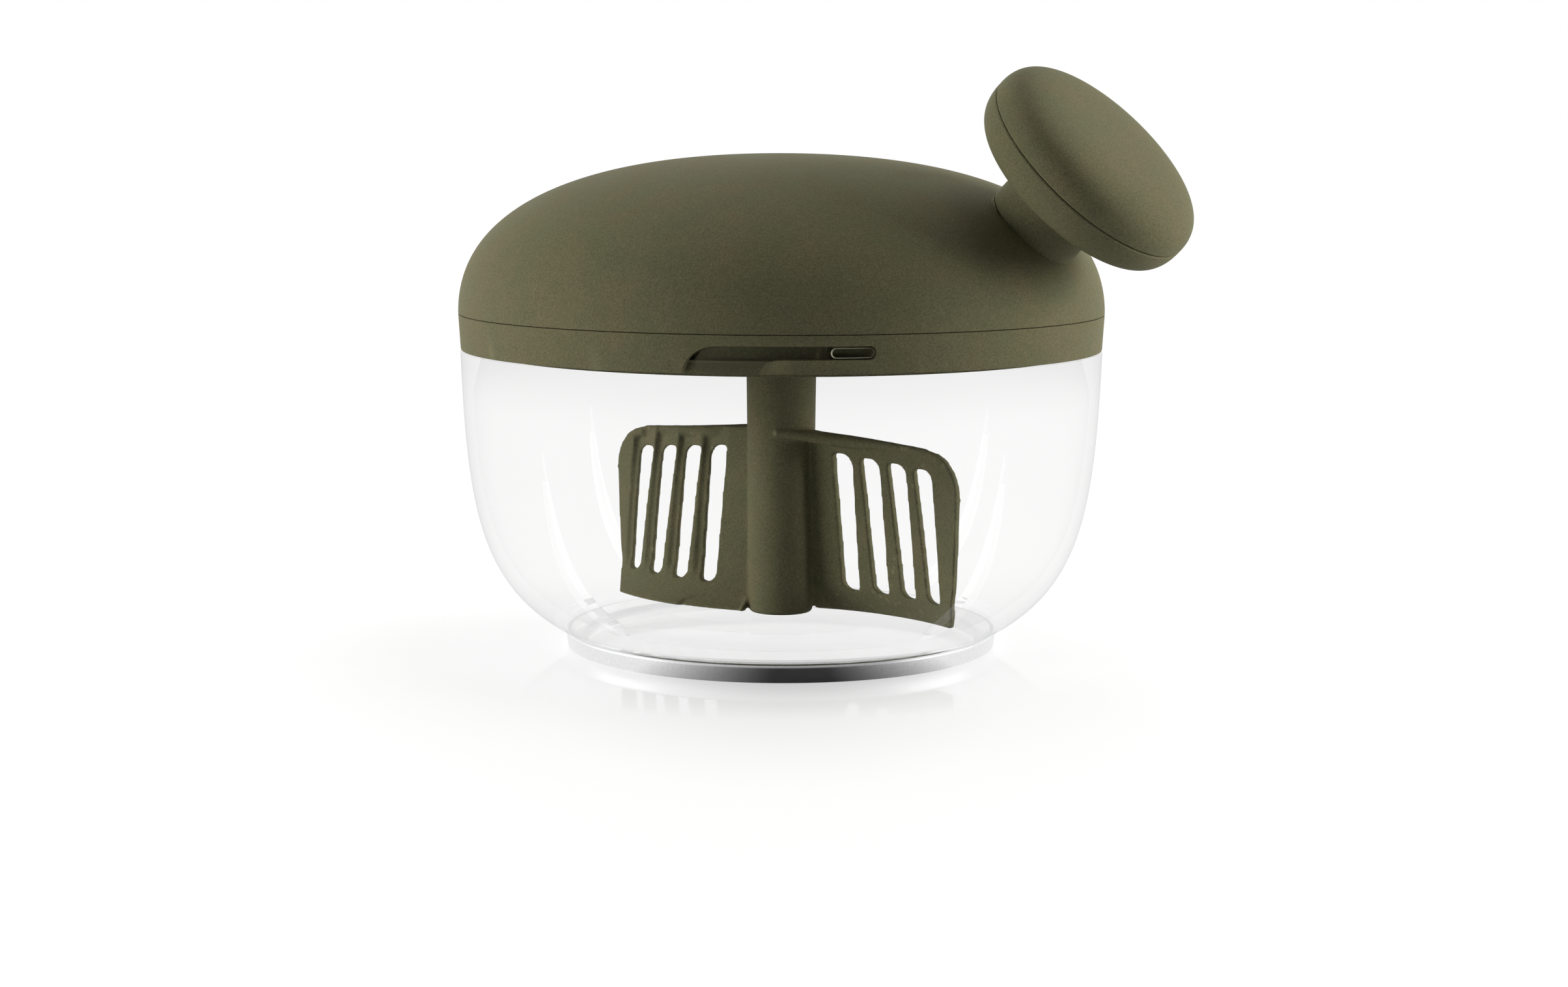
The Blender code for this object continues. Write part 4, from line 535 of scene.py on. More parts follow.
def bowl_profile():
    """From the stud on the floor, up the inside, over the rim and down the outside to the base."""
    foot_outer = FOOT_RADIUS - FOOT_WALL - GAP
    foot_inner = FOOT_RADIUS - FOOT_WIDTH + FOOT_WALL * 0.6
    corners = [(0.0, FLOOR_TOP + STUD_LENGTH, 0.0), (STUD_RADIUS - 0.0002, FLOOR_TOP + STUD_LENGTH, 0.0009),
               (STUD_RADIUS + 0.0001, FLOOR_TOP, 0.0007)]
    corners += plain([point for point in BOWL_INSIDE if point[1] < STEP_START]) + plain(RIM_STEP)
    corners += [(RIM_INNER, RIM_TOP, 0.0006),
                (RIM_RADIUS, RIM_TOP, 0.0004), (RIM_RADIUS, SHOULDER_TOP, 0.0003),
                (BOWL_RADIUS - SHOULDER_EDGE * 0.1, SHOULDER_TOP, 0.0003)]
    corners += plain(BOWL_OUTSIDE)
    corners += [(FOOT_RADIUS + 0.0006, LEDGE + 0.0004, 0.0), (FOOT_RADIUS + 0.0002, LEDGE, 0.0002),
                (foot_outer, LEDGE, 0.0), (foot_outer, FOOT_SOLE + GAP, 0.0003),
                (foot_inner, FOOT_SOLE + GAP, 0.0003), (foot_inner, FLOOR_TOP - FLOOR_WALL, 0.0008),
                (0.0, FLOOR_TOP - FLOOR_WALL, 0.0)]
    return rounded(corners)


def bowl_rib(index):
    """A fin that grows out of the bowl's wall towards the floor, clear of the blades' path."""
    rings = []
    levels = 30
    rib_foot = FLOOR_TOP - FLOOR_WALL * 0.3
    for k in range(levels + 1):
        share = k / levels
        height = RIB_TOP + (rib_foot - RIB_TOP) * share
        wall = radius_on_curve(BOWL_INSIDE, max(height, FLOOR_TOP + 0.0001))
        clear = blade_path_radius(height) + RIB_PLAY
        inner = max(wall - RIB_DEPTH * share ** 0.8 + 0.0002 * (1.0 - share), clear)
        outer = wall + BOWL_WALL * 0.4
        half = (RIB_TIP_WIDTH + (RIB_WIDTH - RIB_TIP_WIDTH) * share) / 2
        nose = half * 0.6
        ring = [(outer, half), (outer, -half)] + arc(inner + nose * 0.7, 0.0, -nose * 0.7, nose, -90, 90, 4)
        rings.append([(x, y, height) for x, y in ring])
    return skin(rings, turn_z(RIB_FIRST_AZIMUTH + 360.0 / RIB_COUNT * index))


def bayonet_lug(index):
    """A stadium-shaped lug with a softened face."""
    shape = slab(stadium(LUG_LENGTH, LUG_HEIGHT), 0.0, LID_FOOT_RADIUS - LUG_SINK - RIM_RADIUS
                 + RIM_WALL / 2)
    top = max(corner.co.z for corner in shape.verts)
    rim = [edge for edge in shape.edges if all(corner.co.z > top - 1e-6 for corner in edge.verts)]
    bmesh.ops.bevel(shape, geom=rim, offset=0.0005, offset_type="OFFSET", affect="EDGES", segments=3,
                    profile=0.5, material=-1)
    bmesh.ops.translate(shape, verts=shape.verts[:], vec=(0.0, LUG_MIDDLE, RIM_RADIUS - RIM_WALL / 2))
    return wrap(shape, LUG_ARC, index, 0.0015)


def bowl_zone(centre, normal):
    """Which of the bowl's finishes a face gets, as an index into BOWL_FINISHES."""
    radius = math.hypot(centre.x, centre.y)
    outward = (normal.x * centre.x + normal.y * centre.y) / max(radius, 0.001)
    near_lug = abs(centre.z - LUG_MIDDLE) < LUG_HEIGHT * 0.52
    # Zone 5: the lugs' rims, which carry a painted highlight.
    if near_lug and radius > LID_FOOT_RADIUS - LUG_SINK - 0.0006 and outward < 0.96:
        return 5
    if centre.z > SHOULDER_TOP - 0.0001:
        return 4
    if centre.z < LEDGE + 0.0016 and radius > FOOT_RADIUS - 0.0010:
        return 3
    if FLOOR_TOP + 0.0004 < centre.z < RIB_TOP and radius < radius_on_curve(BOWL_INSIDE, centre.z) - 0.0003:
        return 2 if radius > STUD_RADIUS * 2 else 1
    return 0 if outward > 0.05 and radius > FOOT_RADIUS - 0.0010 else 1


class CHOPPER_OT_bowl(bpy.types.Operator):
    """Make the clear bowl with its ribs, rim, lugs and stud"""

    bl_idname = "chopper.bowl"
    bl_label = "Clear bowl"

    def execute(self, context):
        bowl = turned("clear_bowl", bowl_profile())
        boolean(bowl, [bowl_rib(index) for index in range(RIB_COUNT)], "UNION")
        boolean(bowl, [bayonet_lug(index) for index in range(LUG_COUNT)], "UNION")
        first, *others = [clear_san(*finish) for finish in BOWL_FINISHES] + [san_lug_rim_painted_highlight()]
        dress(shade(bowl, 28.0), first, "bowl", "clear_plastic", "bowl")
        for finish in others:
            bowl.data.materials.append(finish)
        for face in bowl.data.polygons:
            face.material_index = bowl_zone(face.center, face.normal)
        return {"FINISHED"}


class CHOPPER_OT_foot(bpy.types.Operator):
    """Make the soft grey band under the bowl"""

    bl_idname = "chopper.foot"
    bl_label = "Foot band"

    def execute(self, context):
        inner = FOOT_RADIUS - FOOT_WIDTH
        wall = FOOT_RADIUS - FOOT_WALL
        profile = rounded([(wall, FOOT_BAND, 0.0002), (FOOT_RADIUS, FOOT_BAND, 0.0007),
                           (FOOT_RADIUS - 0.0006, 0.0, 0.0006), (inner, 0.0, 0.0004),
                           (inner, FOOT_SOLE, 0.0002), (wall, FOOT_SOLE, 0.0002)])
        band = turned("foot_band", profile, closed=True)
        dress(shade(band), satin_foot_band(), "bowl", "foot_rubber", "foot_ring")
        # The band's inner faces get a painted glow.
        band.data.materials.append(pale_elastomer_painted_glow())
        for face in band.data.polygons:
            face.material_index = int(math.hypot(face.center.x, face.center.y) < wall + 0.0003)
        return {"FINISHED"}


# Lid
def bayonet_outline():
    """The L-shaped slot, as (arc length, height)."""
    below = RING_BOTTOM - 2 * PAST
    end_round = (CHANNEL_TOP - CHANNEL_BOTTOM) / 2
    end_middle = LUG_ARC + LUG_LENGTH / 2 + GAP - end_round
    steps = 14
    outline = [(-ENTRY_ARC, below)]
    outline += arc(ENTRY_CURVE - ENTRY_ARC, RING_BOTTOM, -ENTRY_CURVE, CHANNEL_TOP - RING_BOTTOM,
                   0, 90, steps)
    outline += arc(end_middle, (CHANNEL_TOP + CHANNEL_BOTTOM) / 2, end_round, end_round, 90, -90, steps)
    outline += arc(0.0, RING_BOTTOM, -TONGUE_CURVE, CHANNEL_BOTTOM - RING_BOTTOM, 90, 0, steps)
    return outline + [(-TONGUE_CURVE, below)]


def bayonet_slot(index):
    """A cutter for one slot of the skirt."""
    inner = LID_FOOT_RADIUS - SKIRT_WALL - 0.0006
    return wrap(slab(bayonet_outline(), inner, LID_RADIUS + 2 * PAST), 0.0, index)


def skirt_rib(index):
    """A small rib on the inner skirt, seen through the slot."""
    near = PLUG_RADIUS - PLUG_WALL / 2
    half = SKIRT_RIB_WIDTH / 2
    top = DECK_UNDERSIDE + DECK_WALL / 2
    outline = [(-half * 0.6, CHANNEL_BOTTOM), (half * 0.6, CHANNEL_BOTTOM), (half, top), (-half, top)]
    return wrap(slab(outline, near, PLUG_RADIUS + SKIRT_RIB_DEPTH), SKIRT_RIB_ARC, index)


class CHOPPER_OT_lid(bpy.types.Operator):
    """Make the lid ring with its bayonet slots"""

    bl_idname = "chopper.lid"
    bl_label = "Lid ring"

    def execute(self, context):
        edge = context.scene.chopper_finish.edge
        skirt_inner = LID_FOOT_RADIUS - SKIRT_WALL
        groove = PLUG_RADIUS - SEAL_GROOVE
        groove_top = GROOVE_BOTTOM + SEAL_HEIGHT + SEAL_FIT
        profile = rounded([
            (LID_RADIUS, RING_TOP, edge * 0.25), (LID_FOOT_RADIUS, RING_BOTTOM, edge * 0.7),
            (skirt_inner, RING_BOTTOM, edge * 0.7), (skirt_inner, DECK_UNDERSIDE, edge),
            (PLUG_RADIUS, DECK_UNDERSIDE, edge), (PLUG_RADIUS, groove_top, 0.0),
            (groove, groove_top, 0.0), (groove, GROOVE_BOTTOM - SEAL_FIT, 0.0),
            (PLUG_RADIUS, GROOVE_BOTTOM - SEAL_FIT, 0.0), (PLUG_RADIUS, PLUG_BOTTOM, edge * 0.5),
            (PLUG_INNER, PLUG_BOTTOM, edge * 0.5), (PLUG_INNER, DECK_UNDERSIDE, edge),
            (DECK_INNER_RADIUS, DECK_UNDERSIDE, edge), (DECK_INNER_RADIUS, RING_TOP, edge)])
        ring = turned("lid_shell", profile, closed=True)
        added = []
        holes = []
        slots = []
        deck_middle = RING_TOP - DECK_WALL / 2
        boss_bottom = PLATE_TOP + GAP
        half = SCREW_BOSS_RADIUS * 0.7
        reach = PLUG_INNER + PLUG_WALL / 2 - SCREW_CIRCLE
        web = [(0.0, -half), (reach, -half), (reach, half), (0.0, half)]
        for index in range(LUG_COUNT):
            place = around(SCREW_AZIMUTH + 120.0 * index, SCREW_CIRCLE)
            added.append(rod(SCREW_BOSS_RADIUS, boss_bottom, deck_middle, place))
            added.append(slab(web, boss_bottom + 0.0002, deck_middle - 0.0001, place))
            added.append(skirt_rib(index))
            holes.append(rod(SCREW_HOLE_RADIUS, boss_bottom - PAST, RING_TOP - 0.0006, place, 24))
            slots.append(bayonet_slot(index))
        for shape in added:
            boolean(ring, [shape], "UNION")
        boolean(ring, holes + slots, "DIFFERENCE")
        dress(shade(ring), olive_abs(), "lid", "olive_plastic", "lid_ring")
        return {"FINISHED"}


# Dome
class CHOPPER_OT_dome(bpy.types.Operator):
    """Make the domed crank with its knob seat and inner bosses"""

    bl_idname = "chopper.dome"
    bl_label = "Domed crank"

    def execute(self, context):
        outside = bezier((0.0, DOME_TOP), (DOME_CROWN_RADIUS, DOME_TOP), (LID_RADIUS, DOME_SHOULDER),
                         (LID_RADIUS, DOME_BOTTOM + DOME_EDGE_ROUND), 72)
        edge = DOME_BOTTOM - DOME_HANG
        corners = plain(outside) + [(LID_RADIUS, edge, DOME_EDGE_ROUND), (0.0, edge, 0.0)]
        dome = turned("dome_shell", rounded(corners))
        ceiling = DOME_TOP - DOME_WALL
        wall = LID_RADIUS - DOME_WALL
        below = DOME_BOTTOM - 2 * PAST
        inside = bezier((0.0, ceiling), (DOME_CROWN_RADIUS - DOME_WALL * 0.4, ceiling),
                        (wall, DOME_SHOULDER - DOME_WALL * 0.6), (wall, below), 40)
        hollow = turned("dome_hollow", inside + [(0.0, below)])
        seat = knob_matrix()
        places = [around(DOME_SCREW_AZIMUTH + 120.0 * index, EAR_CIRCLE) for index in range(3)]
        bosses = [rod(DOME_BOSS_RADIUS, WEB_TOP + GAP, DOME_TOP + PAST, place) for place in places]
        bosses.append(rod(KNOB_BOSS_RADIUS, -KNOB_BOSS_DEPTH, NECK_HEIGHT, seat))
        holes = [rod(DOME_SCREW_HOLE, WEB_TOP - PAST, WEB_TOP + DOME_SCREW_BITE, place, 24)
                 for place in places]
        holes.append(rod(AXLE_HOLE, -KNOB_BOSS_DEPTH - 2 * PAST, 4 * PAST, seat))
        boolean(hollow, bosses, "DIFFERENCE")
        boolean(hollow, holes, "UNION")
        boolean(dome, [rod(NECK_RADIUS - 0.0001, -2.2 * DOME_WALL, -KNOB_SKIRT - GAP, seat, 96)], "UNION")
        combine(dome, hollow, "DIFFERENCE")
        dress(shade(dome), olive_abs(), "dome", "olive_plastic", "dome_cover")
        return {"FINISHED"}


# Knob
class CHOPPER_OT_knob(bpy.types.Operator):
    """Make the palm knob's body and cap"""

    bl_idname = "chopper.knob"
    bl_label = "Palm knob"

    def execute(self, context):
        place = knob_matrix()
        wall = KNOB_RADIUS - KNOB_WALL
        floor = NECK_HEIGHT + KNOB_WALL
        under = bezier((KNOB_RADIUS, KNOB_PARTING - KNOB_SEAM - 0.0003),
                       (KNOB_RADIUS, KNOB_PARTING - KNOB_EDGE_PULL),
                       (NECK_TOP_RADIUS + KNOB_UNDER_PULL, NECK_HEIGHT), (NECK_TOP_RADIUS, NECK_HEIGHT),
                       30)
        corners = [(KNOB_RADIUS - 0.0002, KNOB_PARTING - KNOB_SEAM, 0.0)] + plain(under)
        corners += [(NECK_RADIUS, NECK_HEIGHT - 0.0006, 0.0024), (NECK_RADIUS, -KNOB_SKIRT, 0.0002),
                    (KNOB_SKIRT_BORE, -KNOB_SKIRT, 0.0002), (KNOB_SKIRT_BORE, 0.0, 0.0),
                    (KNOB_BORE, 0.0, 0.0), (KNOB_BORE, KNOB_BOSS_TOP, 0.0002),
                    (KNOB_BOSS, KNOB_BOSS_TOP, 0.0002), (KNOB_BOSS, floor, 0.0006),
                    (wall - 0.0060, floor, 0.0020), (wall, KNOB_PARTING - KNOB_PLUG - 2 * GAP, 0.0010),
                    (wall, KNOB_PARTING - KNOB_SEAM, 0.0)]
        base = turned("knob_body", rounded(corners), closed=True, matrix=place)
        dress(shade(base), olive_abs(), "knob", "olive_plastic", "knob_base")
        crown = bezier((0.0, KNOB_HEIGHT), (CAP_CROWN_PULL, KNOB_HEIGHT),
                       (KNOB_RADIUS, KNOB_PARTING + CAP_EDGE_PULL), (KNOB_RADIUS, KNOB_PARTING + 0.0003),
                       40)
        plug = KNOB_RADIUS - KNOB_WALL - GAP
        plug_inner = plug - KNOB_PLUG_WALL
        ceiling = KNOB_HEIGHT - KNOB_WALL
        inside = bezier((plug_inner, KNOB_PARTING), (plug_inner, KNOB_PARTING + CAP_EDGE_PULL * 0.75),
                        (CAP_CROWN_PULL * 0.85, ceiling), (0.0, ceiling), 24)
        foot = KNOB_PARTING - KNOB_PLUG
        corners = plain(crown) + [(KNOB_RADIUS - 0.0002, KNOB_PARTING, 0.0), (plug, KNOB_PARTING, 0.0),
                                  (plug, foot, 0.0002), (plug_inner, foot, 0.0002)] + plain(inside)
        cap = turned("knob_top", rounded(corners), matrix=place)
        dress(shade(cap), olive_abs(), "knob", "olive_plastic", "knob_cap")
        return {"FINISHED"}


# Paddle
def blade_offset(reach, height):
    """Sideways place of the blade's middle surface, in its own frame."""
    share = (height - SLOT_BOTTOM) / (SLOT_TOP - SLOT_BOTTOM)
    belly = BELLY_LOW + (BELLY_HIGH - BELLY_LOW) * share
    bulge = belly * (1.0 - ((reach - BELLY_MIDDLE) / BELLY_SPREAD) ** 2)
    if height >= SWEEP_TOP:
        return bulge
    sweep = (SWEEP_TOP - height) / (SWEEP_TOP - HUB_BOTTOM)
    return bulge + SWEEP_DEPTH * sweep ** 1.5


def blade_side():
    """The blade's outer edge from its foot to its top, as (reach, height)."""
    top = BLADE_TOP - BLADE_TOP_SLOPE * BLADE_REACH
    low = BLADE_LOW_REACH
    spread = BLADE_REACH - low
    edge = bezier((low, BLADE_EDGE), (low + spread * 0.62, BLADE_EDGE + 0.0030),
                  (BLADE_REACH, BLADE_EDGE + 0.0060), (BLADE_REACH, BLADE_SIDE), 12)
    return edge + arc(BLADE_REACH - BLADE_CORNER, top - BLADE_CORNER, BLADE_CORNER, BLADE_CORNER,
                      0, 90, 10)


def blade_path_radius(height):
    """How far from the axis the blades' outer edges pass at a height."""
    level = min(max(height, BLADE_EDGE), BLADE_SIDE)
    reach = radius_on_curve(blade_side(), level)
    return math.hypot(reach, blade_offset(reach, level) + BLADE_WALL / 2)


def blade_sheet(matrix):
    """One curved blade: a sheet with its own outline, then given its thickness."""
    top = BLADE_TOP - BLADE_TOP_SLOPE * BLADE_REACH
    columns = 44
    edge = blade_side()
    filled = []
    for (r0, z0), (r1, z1) in zip(edge, edge[1:]):
        pieces = max(1, int((z1 - z0) / 0.0014))
        filled += [(r0 + (r1 - r0) * k / pieces, z0 + (z1 - z0) * k / pieces) for k in range(pieces)]
    filled.append(edge[-1])
    faces = {-1: [], 1: []}
    shape = bmesh.new()
    for side in (-1, 1):
        for reach, height in filled:
            line = []
            for k in range(columns + 1):
                out = BLADE_ROOT + (reach - BLADE_ROOT) * k / columns
                share = max(0.0, (height - SLOT_BOTTOM) / (top - SLOT_BOTTOM))
                level = height + share * BLADE_TOP_SLOPE * (BLADE_REACH - out)
                across = blade_offset(out, level) + side * BLADE_WALL / 2
                line.append(shape.verts.new((out, across, level)))
            faces[side].append(line)
    rims = []
    for grid in faces.values():
        for low, high in zip(grid, grid[1:]):
            for k in range(columns):
                shape.faces.new((low[k], low[k + 1], high[k + 1], high[k]))
        rims.append(grid[0] + [line[-1] for line in grid[1:]] + grid[-1][-2::-1]
                    + [line[0] for line in grid[-2:0:-1]])
    loops = []
    for rim in rims:
        loops += [shape.edges.get((rim[i - 1], rim[i])) for i in range(len(rim))]
    bmesh.ops.bridge_loops(shape, edges=loops)
    bmesh.ops.recalc_face_normals(shape, faces=shape.faces[:])
    return placed(shape, matrix)


def tube_along(points, matrix):
    """A round skin along (out, side, height, radius) points."""
    sides = 12
    rings = []
    for index, point in enumerate(points):
        before = Vector(points[max(index - 1, 0)][:3])
        after = Vector(points[min(index + 1, len(points) - 1)][:3])
        turn = (after - before).to_track_quat("Z", "Y").to_matrix()
        rings.append([Vector(point[:3]) + turn @ Vector((point[3] * math.cos(math.tau * k / sides),
                                                         point[3] * math.sin(math.tau * k / sides), 0.0))
                      for k in range(sides)])
    return skin(rings, matrix)


def top_lips(matrix):
    """A rounded lip from the hub's front along the blade's top edge, and the web behind it."""
    shapes = []
    last = BLADE_REACH - BLADE_CORNER
    for fill in (0.0, 0.34, 0.67):
        points = []
        steps = 26 if fill == 0.0 else 14
        reach = last if fill == 0.0 else LIP_START + (last - LIP_START) * 0.55
        for k in range(steps + 1):
            out = LIP_START + (reach - LIP_START) * k / steps
            share = (out - LIP_START) / (last - LIP_START)
            level = BLADE_TOP - BLADE_TOP_SLOPE * out
            near = max(0.0, 1.0 - share / 0.62) ** 2 * (1.0 - fill)
            side = blade_offset(out, level) * (1.0 - near) - LIP_FRONT * near - 0.0003 * (1.0 - near)
            radius = LIP_RADIUS * (0.75 + 0.5 * math.sin(math.pi * min(1.0, share * 1.25)))
            points.append((out, side, level - radius + 0.0003, radius))
        shapes.append(tube_along(points, matrix))
    corner = []
    top = BLADE_TOP - BLADE_TOP_SLOPE * BLADE_REACH
    bend = BLADE_CORNER - LIP_RADIUS * 0.8
    for k in range(13):
        angle = math.radians(90.0 * (1.0 - k / 12))
        out = BLADE_REACH - BLADE_CORNER + bend * math.cos(angle)
        level = top - BLADE_CORNER + bend * math.sin(angle)
        level += 0.0004 * (1.0 - k / 12)
        corner.append((out, blade_offset(out, level), level, LIP_RADIUS * (0.95 - 0.25 * k / 12)))
    shapes.append(tube_along(corner, matrix))
    return shapes


def slot_line(index):
    """A slot's middle at its top and at its bottom, as ((reach, height), (reach, height))."""
    share = index / (SLOT_COUNT - 1)
    top_x = SLOT_TOP_FIRST + (BLADE_REACH - SLOT_TOP_LAST - SLOT_TOP_FIRST) * share
    bottom_x = SLOT_BOTTOM_FIRST + (BLADE_REACH - SLOT_BOTTOM_LAST - SLOT_BOTTOM_FIRST) * share
    return (top_x, SLOT_TOP - SLOT_TOP_FALL * index), (bottom_x, SLOT_BOTTOM)


def slot_outline(index):
    """A slanted taper, tight at its upper inner corner and wide at its upper outer one."""
    (top_x, top_z), (bottom_x, bottom_z) = slot_line(index)
    upper = SLOT_TOP_WIDTH / 2
    lower = SLOT_BOTTOM_WIDTH / 2
    corners = [(top_x - upper, top_z, 0.0008), (top_x + upper, top_z, 0.0030),
               (bottom_x + lower, bottom_z, 0.0016), (bottom_x - lower, bottom_z, 0.0022)]
    return rounded(corners[::-1], 8)


def slot_flute(index, matrix):
    """A scallop beside a slot, steep on its outer side, on the blade's back face."""
    (top_x, top_z), (bottom_x, bottom_z) = slot_line(index)
    rings = []
    steps = 22
    for k in range(steps + 1):
        share = -0.02 + 1.26 * k / steps
        level = bottom_z + (top_z - bottom_z) * share
        middle = bottom_x + (top_x - bottom_x) * share
        deep = FLUTE_DEPTH * (0.75 + 0.5 * max(0.0, min(1.0, (share - 0.70) / 0.35)))
        deep *= min(1.0, max(0.0, share / 0.10))
        surface = BLADE_WALL / 2 + FLUTE_LIFT
        ring = [(middle + across, blade_offset(middle + across, level) + surface
                 - (deep + FLUTE_LIFT) * sink, level) for across, sink in SCALLOP]
        roof = (SCALLOP[-1][0], SCALLOP[0][0])
        ring += [(middle + across, blade_offset(middle + across, level) + surface + CUT_ROOF, level)
                 for across in roof]
        rings.append([Vector(point) for point in ring])
    return skin(rings, matrix)


def foot_recess(matrix):
    """A shallow pocket low on the blade's back face, next to the hub."""
    rings = []
    for k in range(15):
        out = RECESS_START + RECESS_LENGTH * k / 14
        top = 0.0006 + 0.0026 * math.sqrt(min(1.0, (14 - k) / 5))
        levels = [BLADE_EDGE - 0.0012 + (top + 0.0012) * j / 6 for j in range(7)]
        floor = [(out, blade_offset(out, z) + BLADE_WALL / 2 - RECESS_DEPTH, z) for z in levels]
        roof = [(out, blade_offset(out, z) + BLADE_WALL / 2 + CUT_ROOF, z) for z in levels[::-1]]
        rings.append([Vector(point) for point in floor + roof])
    return skin(rings, matrix)


def hub_profile():
    """The hub's outline, with its softened top and slightly flared foot."""
    return rounded([(0.0, HUB_TOP, 0.0), (HUB_TOP_RADIUS, HUB_TOP, 0.0009),
                    (HUB_TOP_RADIUS - 0.0001, HUB_TOP - 0.0060, 0.0),
                    (HUB_FOOT_RADIUS, HUB_BOTTOM + 0.0030, 0.0),
                    (HUB_FOOT_RADIUS, HUB_BOTTOM, 0.0008), (0.0, HUB_BOTTOM, 0.0)])


class CHOPPER_OT_paddle(bpy.types.Operator):
    """Make the mixing paddle: hub, two curved blades, slots, flutes and lips"""

    bl_idname = "chopper.paddle"
    bl_label = "Mixing paddle"

    def execute(self, context):
        finish = context.scene.chopper_finish
        upright = Matrix(((1, 0, 0, 0), (0, 0, -1, 0), (0, 1, 0, 0), (0, 0, 0, 1)))
        paddle = turned("paddle", hub_profile(), facets=72)
        corner = SOCKET_FLATS / math.sqrt(3.0)
        hexagon = arc(0.0, 0.0, corner, corner, 0, 300, 5)
        boolean(paddle, [slab(hexagon, HUB_TOP - SOCKET_DEPTH, HUB_TOP + PAST),
                         rod(STUD_BORE, HUB_BOTTOM - PAST, FLOOR_TOP + STUD_LENGTH + PAST)],
                "DIFFERENCE")
        shapes = []
        for side in range(2):
            place = turn_z(BLADE_AZIMUTH + 180.0 * side)
            blade = new_object("blade", blade_sheet(place))
            slots = [slab(slot_outline(index), *SLOT_CUT, place @ upright)
                     for index in range(SLOT_COUNT)]
            boolean(blade, slots, "DIFFERENCE")
            for index in range(SLOT_COUNT):
                boolean(blade, [slot_flute(index, place)], "DIFFERENCE")
            boolean(blade, [foot_recess(place)], "DIFFERENCE")
            cut = bmesh.new()
            cut.from_mesh(blade.data)
            shapes.append(cut)
            shapes += top_lips(place)
            bpy.data.objects.remove(blade, do_unlink=True)
        hub = bmesh.new()
        hub.from_mesh(paddle.data)
        bpy.data.objects.remove(paddle, do_unlink=True)
        paddle = together("paddle", [hub] + shapes)
        skinned = paddle.modifiers.new("skin", "REMESH")
        skinned.mode = "VOXEL"
        skinned.voxel_size = finish.voxel
        skinned.adaptivity = 0.0
        skinned.use_smooth_shade = True
        soften = paddle.modifiers.new("soften", "SMOOTH")
        soften.factor = 0.5
        soften.iterations = 2
        apply_modifiers(paddle)
        shade(paddle, 60.0)
        dress(paddle, olive_abs(), "tool", "olive_plastic", "mixing_tool")
        return {"FINISHED"}


# Materials
def wire(tree, target, inputs):
    """Fill a node's inputs, by name or in order: with a value, a socket, or a node's first output."""
    for key, value in inputs.items() if isinstance(inputs, dict) else enumerate(inputs):
        source = value.outputs[0] if isinstance(value, bpy.types.Node) else value
        if isinstance(source, bpy.types.NodeSocket):
            tree.links.new(source, target.inputs[key])
        else:
            target.inputs[key].default_value = source
    return target


def node(tree, kind, inputs=(), **settings):
    """Add a node with its settings and links."""
    made = tree.nodes.new(kind)
    for key, value in settings.items():
        setattr(made, key, value)
    return wire(tree, made, inputs)


def new_material(name, inputs):
    """A material with one Principled shader, or the one already made under this name."""
    known = bpy.data.materials.get(name)
    if known is not None:
        return known, None, None
    material = bpy.data.materials.new(name)
    material.use_nodes = True
    tree = material.node_tree
    return material, tree, wire(tree, tree.nodes["Principled BSDF"], inputs)


def mixed(tree, factor, first, second):
    """The colour between two colours by a factor."""
    mix = node(tree, "ShaderNodeMix", {0: factor, 6: first, 7: second}, data_type="RGBA")
    return mix.outputs[2]


def grained_plastic(name, hex_colour, roughness):
    """Matte moulded ABS: spark-eroded grain, faint clouding in the pigment, sharp edges paler from wear and
    from a painted edge highlight.
    """
    finish = bpy.context.scene.chopper_finish
    material, tree, shader = new_material(name, {"Metallic": 0.0, "IOR": 1.5, "Specular IOR Level": 0.07})
    if tree is None:
        return material
    place = node(tree, "ShaderNodeTexCoord")
    cloud = node(tree, "ShaderNodeTexNoise",
                 {"Vector": place.outputs["Object"], "Scale": per_mm(9.0), "Detail": 5.0,
                  "Roughness": 0.65})
    speck = node(tree, "ShaderNodeTexNoise",
                 {"Vector": place.outputs["Object"], "Scale": per_mm(finish.grain), "Detail": 2.0,
                  "Roughness": 0.5})
    base = linear(hex_colour)
    warm = (base[0] * 1.09, base[1] * 1.02, base[2] * 1.03, 1.0)
    green = (base[0] * 0.90, base[1] * 0.95, base[2] * 0.93, 1.0)
    stretch = node(tree, "ShaderNodeMapRange", (cloud, 0.32, 0.68))
    hue = mixed(tree, stretch, green, warm)
    light = node(tree, "ShaderNodeMapRange", (speck, 0.25, 0.75, 0.72, 1.28))
    # Painted edge highlight, partly wear: sharp convex edges are lightened by their pointiness.
    edge_wear_and_sheen = node(tree, "ShaderNodeNewGeometry")
    edge = node(tree, "ShaderNodeMapRange", (edge_wear_and_sheen.outputs["Pointiness"], 0.54, 0.64, 0.0, 0.30))
    grain_and_edge_highlight = node(tree, "ShaderNodeMath", (light, edge), operation="ADD")
    colour = node(tree, "ShaderNodeVectorMath", {0: hue, "Scale": grain_and_edge_highlight}, operation="SCALE")
    rough = node(tree, "ShaderNodeMapRange", (cloud, 0.3, 0.7, roughness - 0.05, roughness + 0.05))
    bump = node(tree, "ShaderNodeBump", {"Strength": 0.18, "Distance": 0.00006, "Height": speck})
    wire(tree, shader, {"Base Color": colour, "Roughness": rough, "Normal": bump})
    return material


def olive_abs():
    """Mass-coloured ABS with a fine matte grain: soft broad highlights, nearly no gloss."""
    return grained_plastic("olive_moulded_abs", bpy.context.scene.chopper_finish.olive, 0.66)


def dark_olive_abs():
    """The same ABS in a darker batch for the gear plate, a little smoother."""
    return grained_plastic("dark_olive_abs", bpy.context.scene.chopper_finish.dark_olive, 0.42)


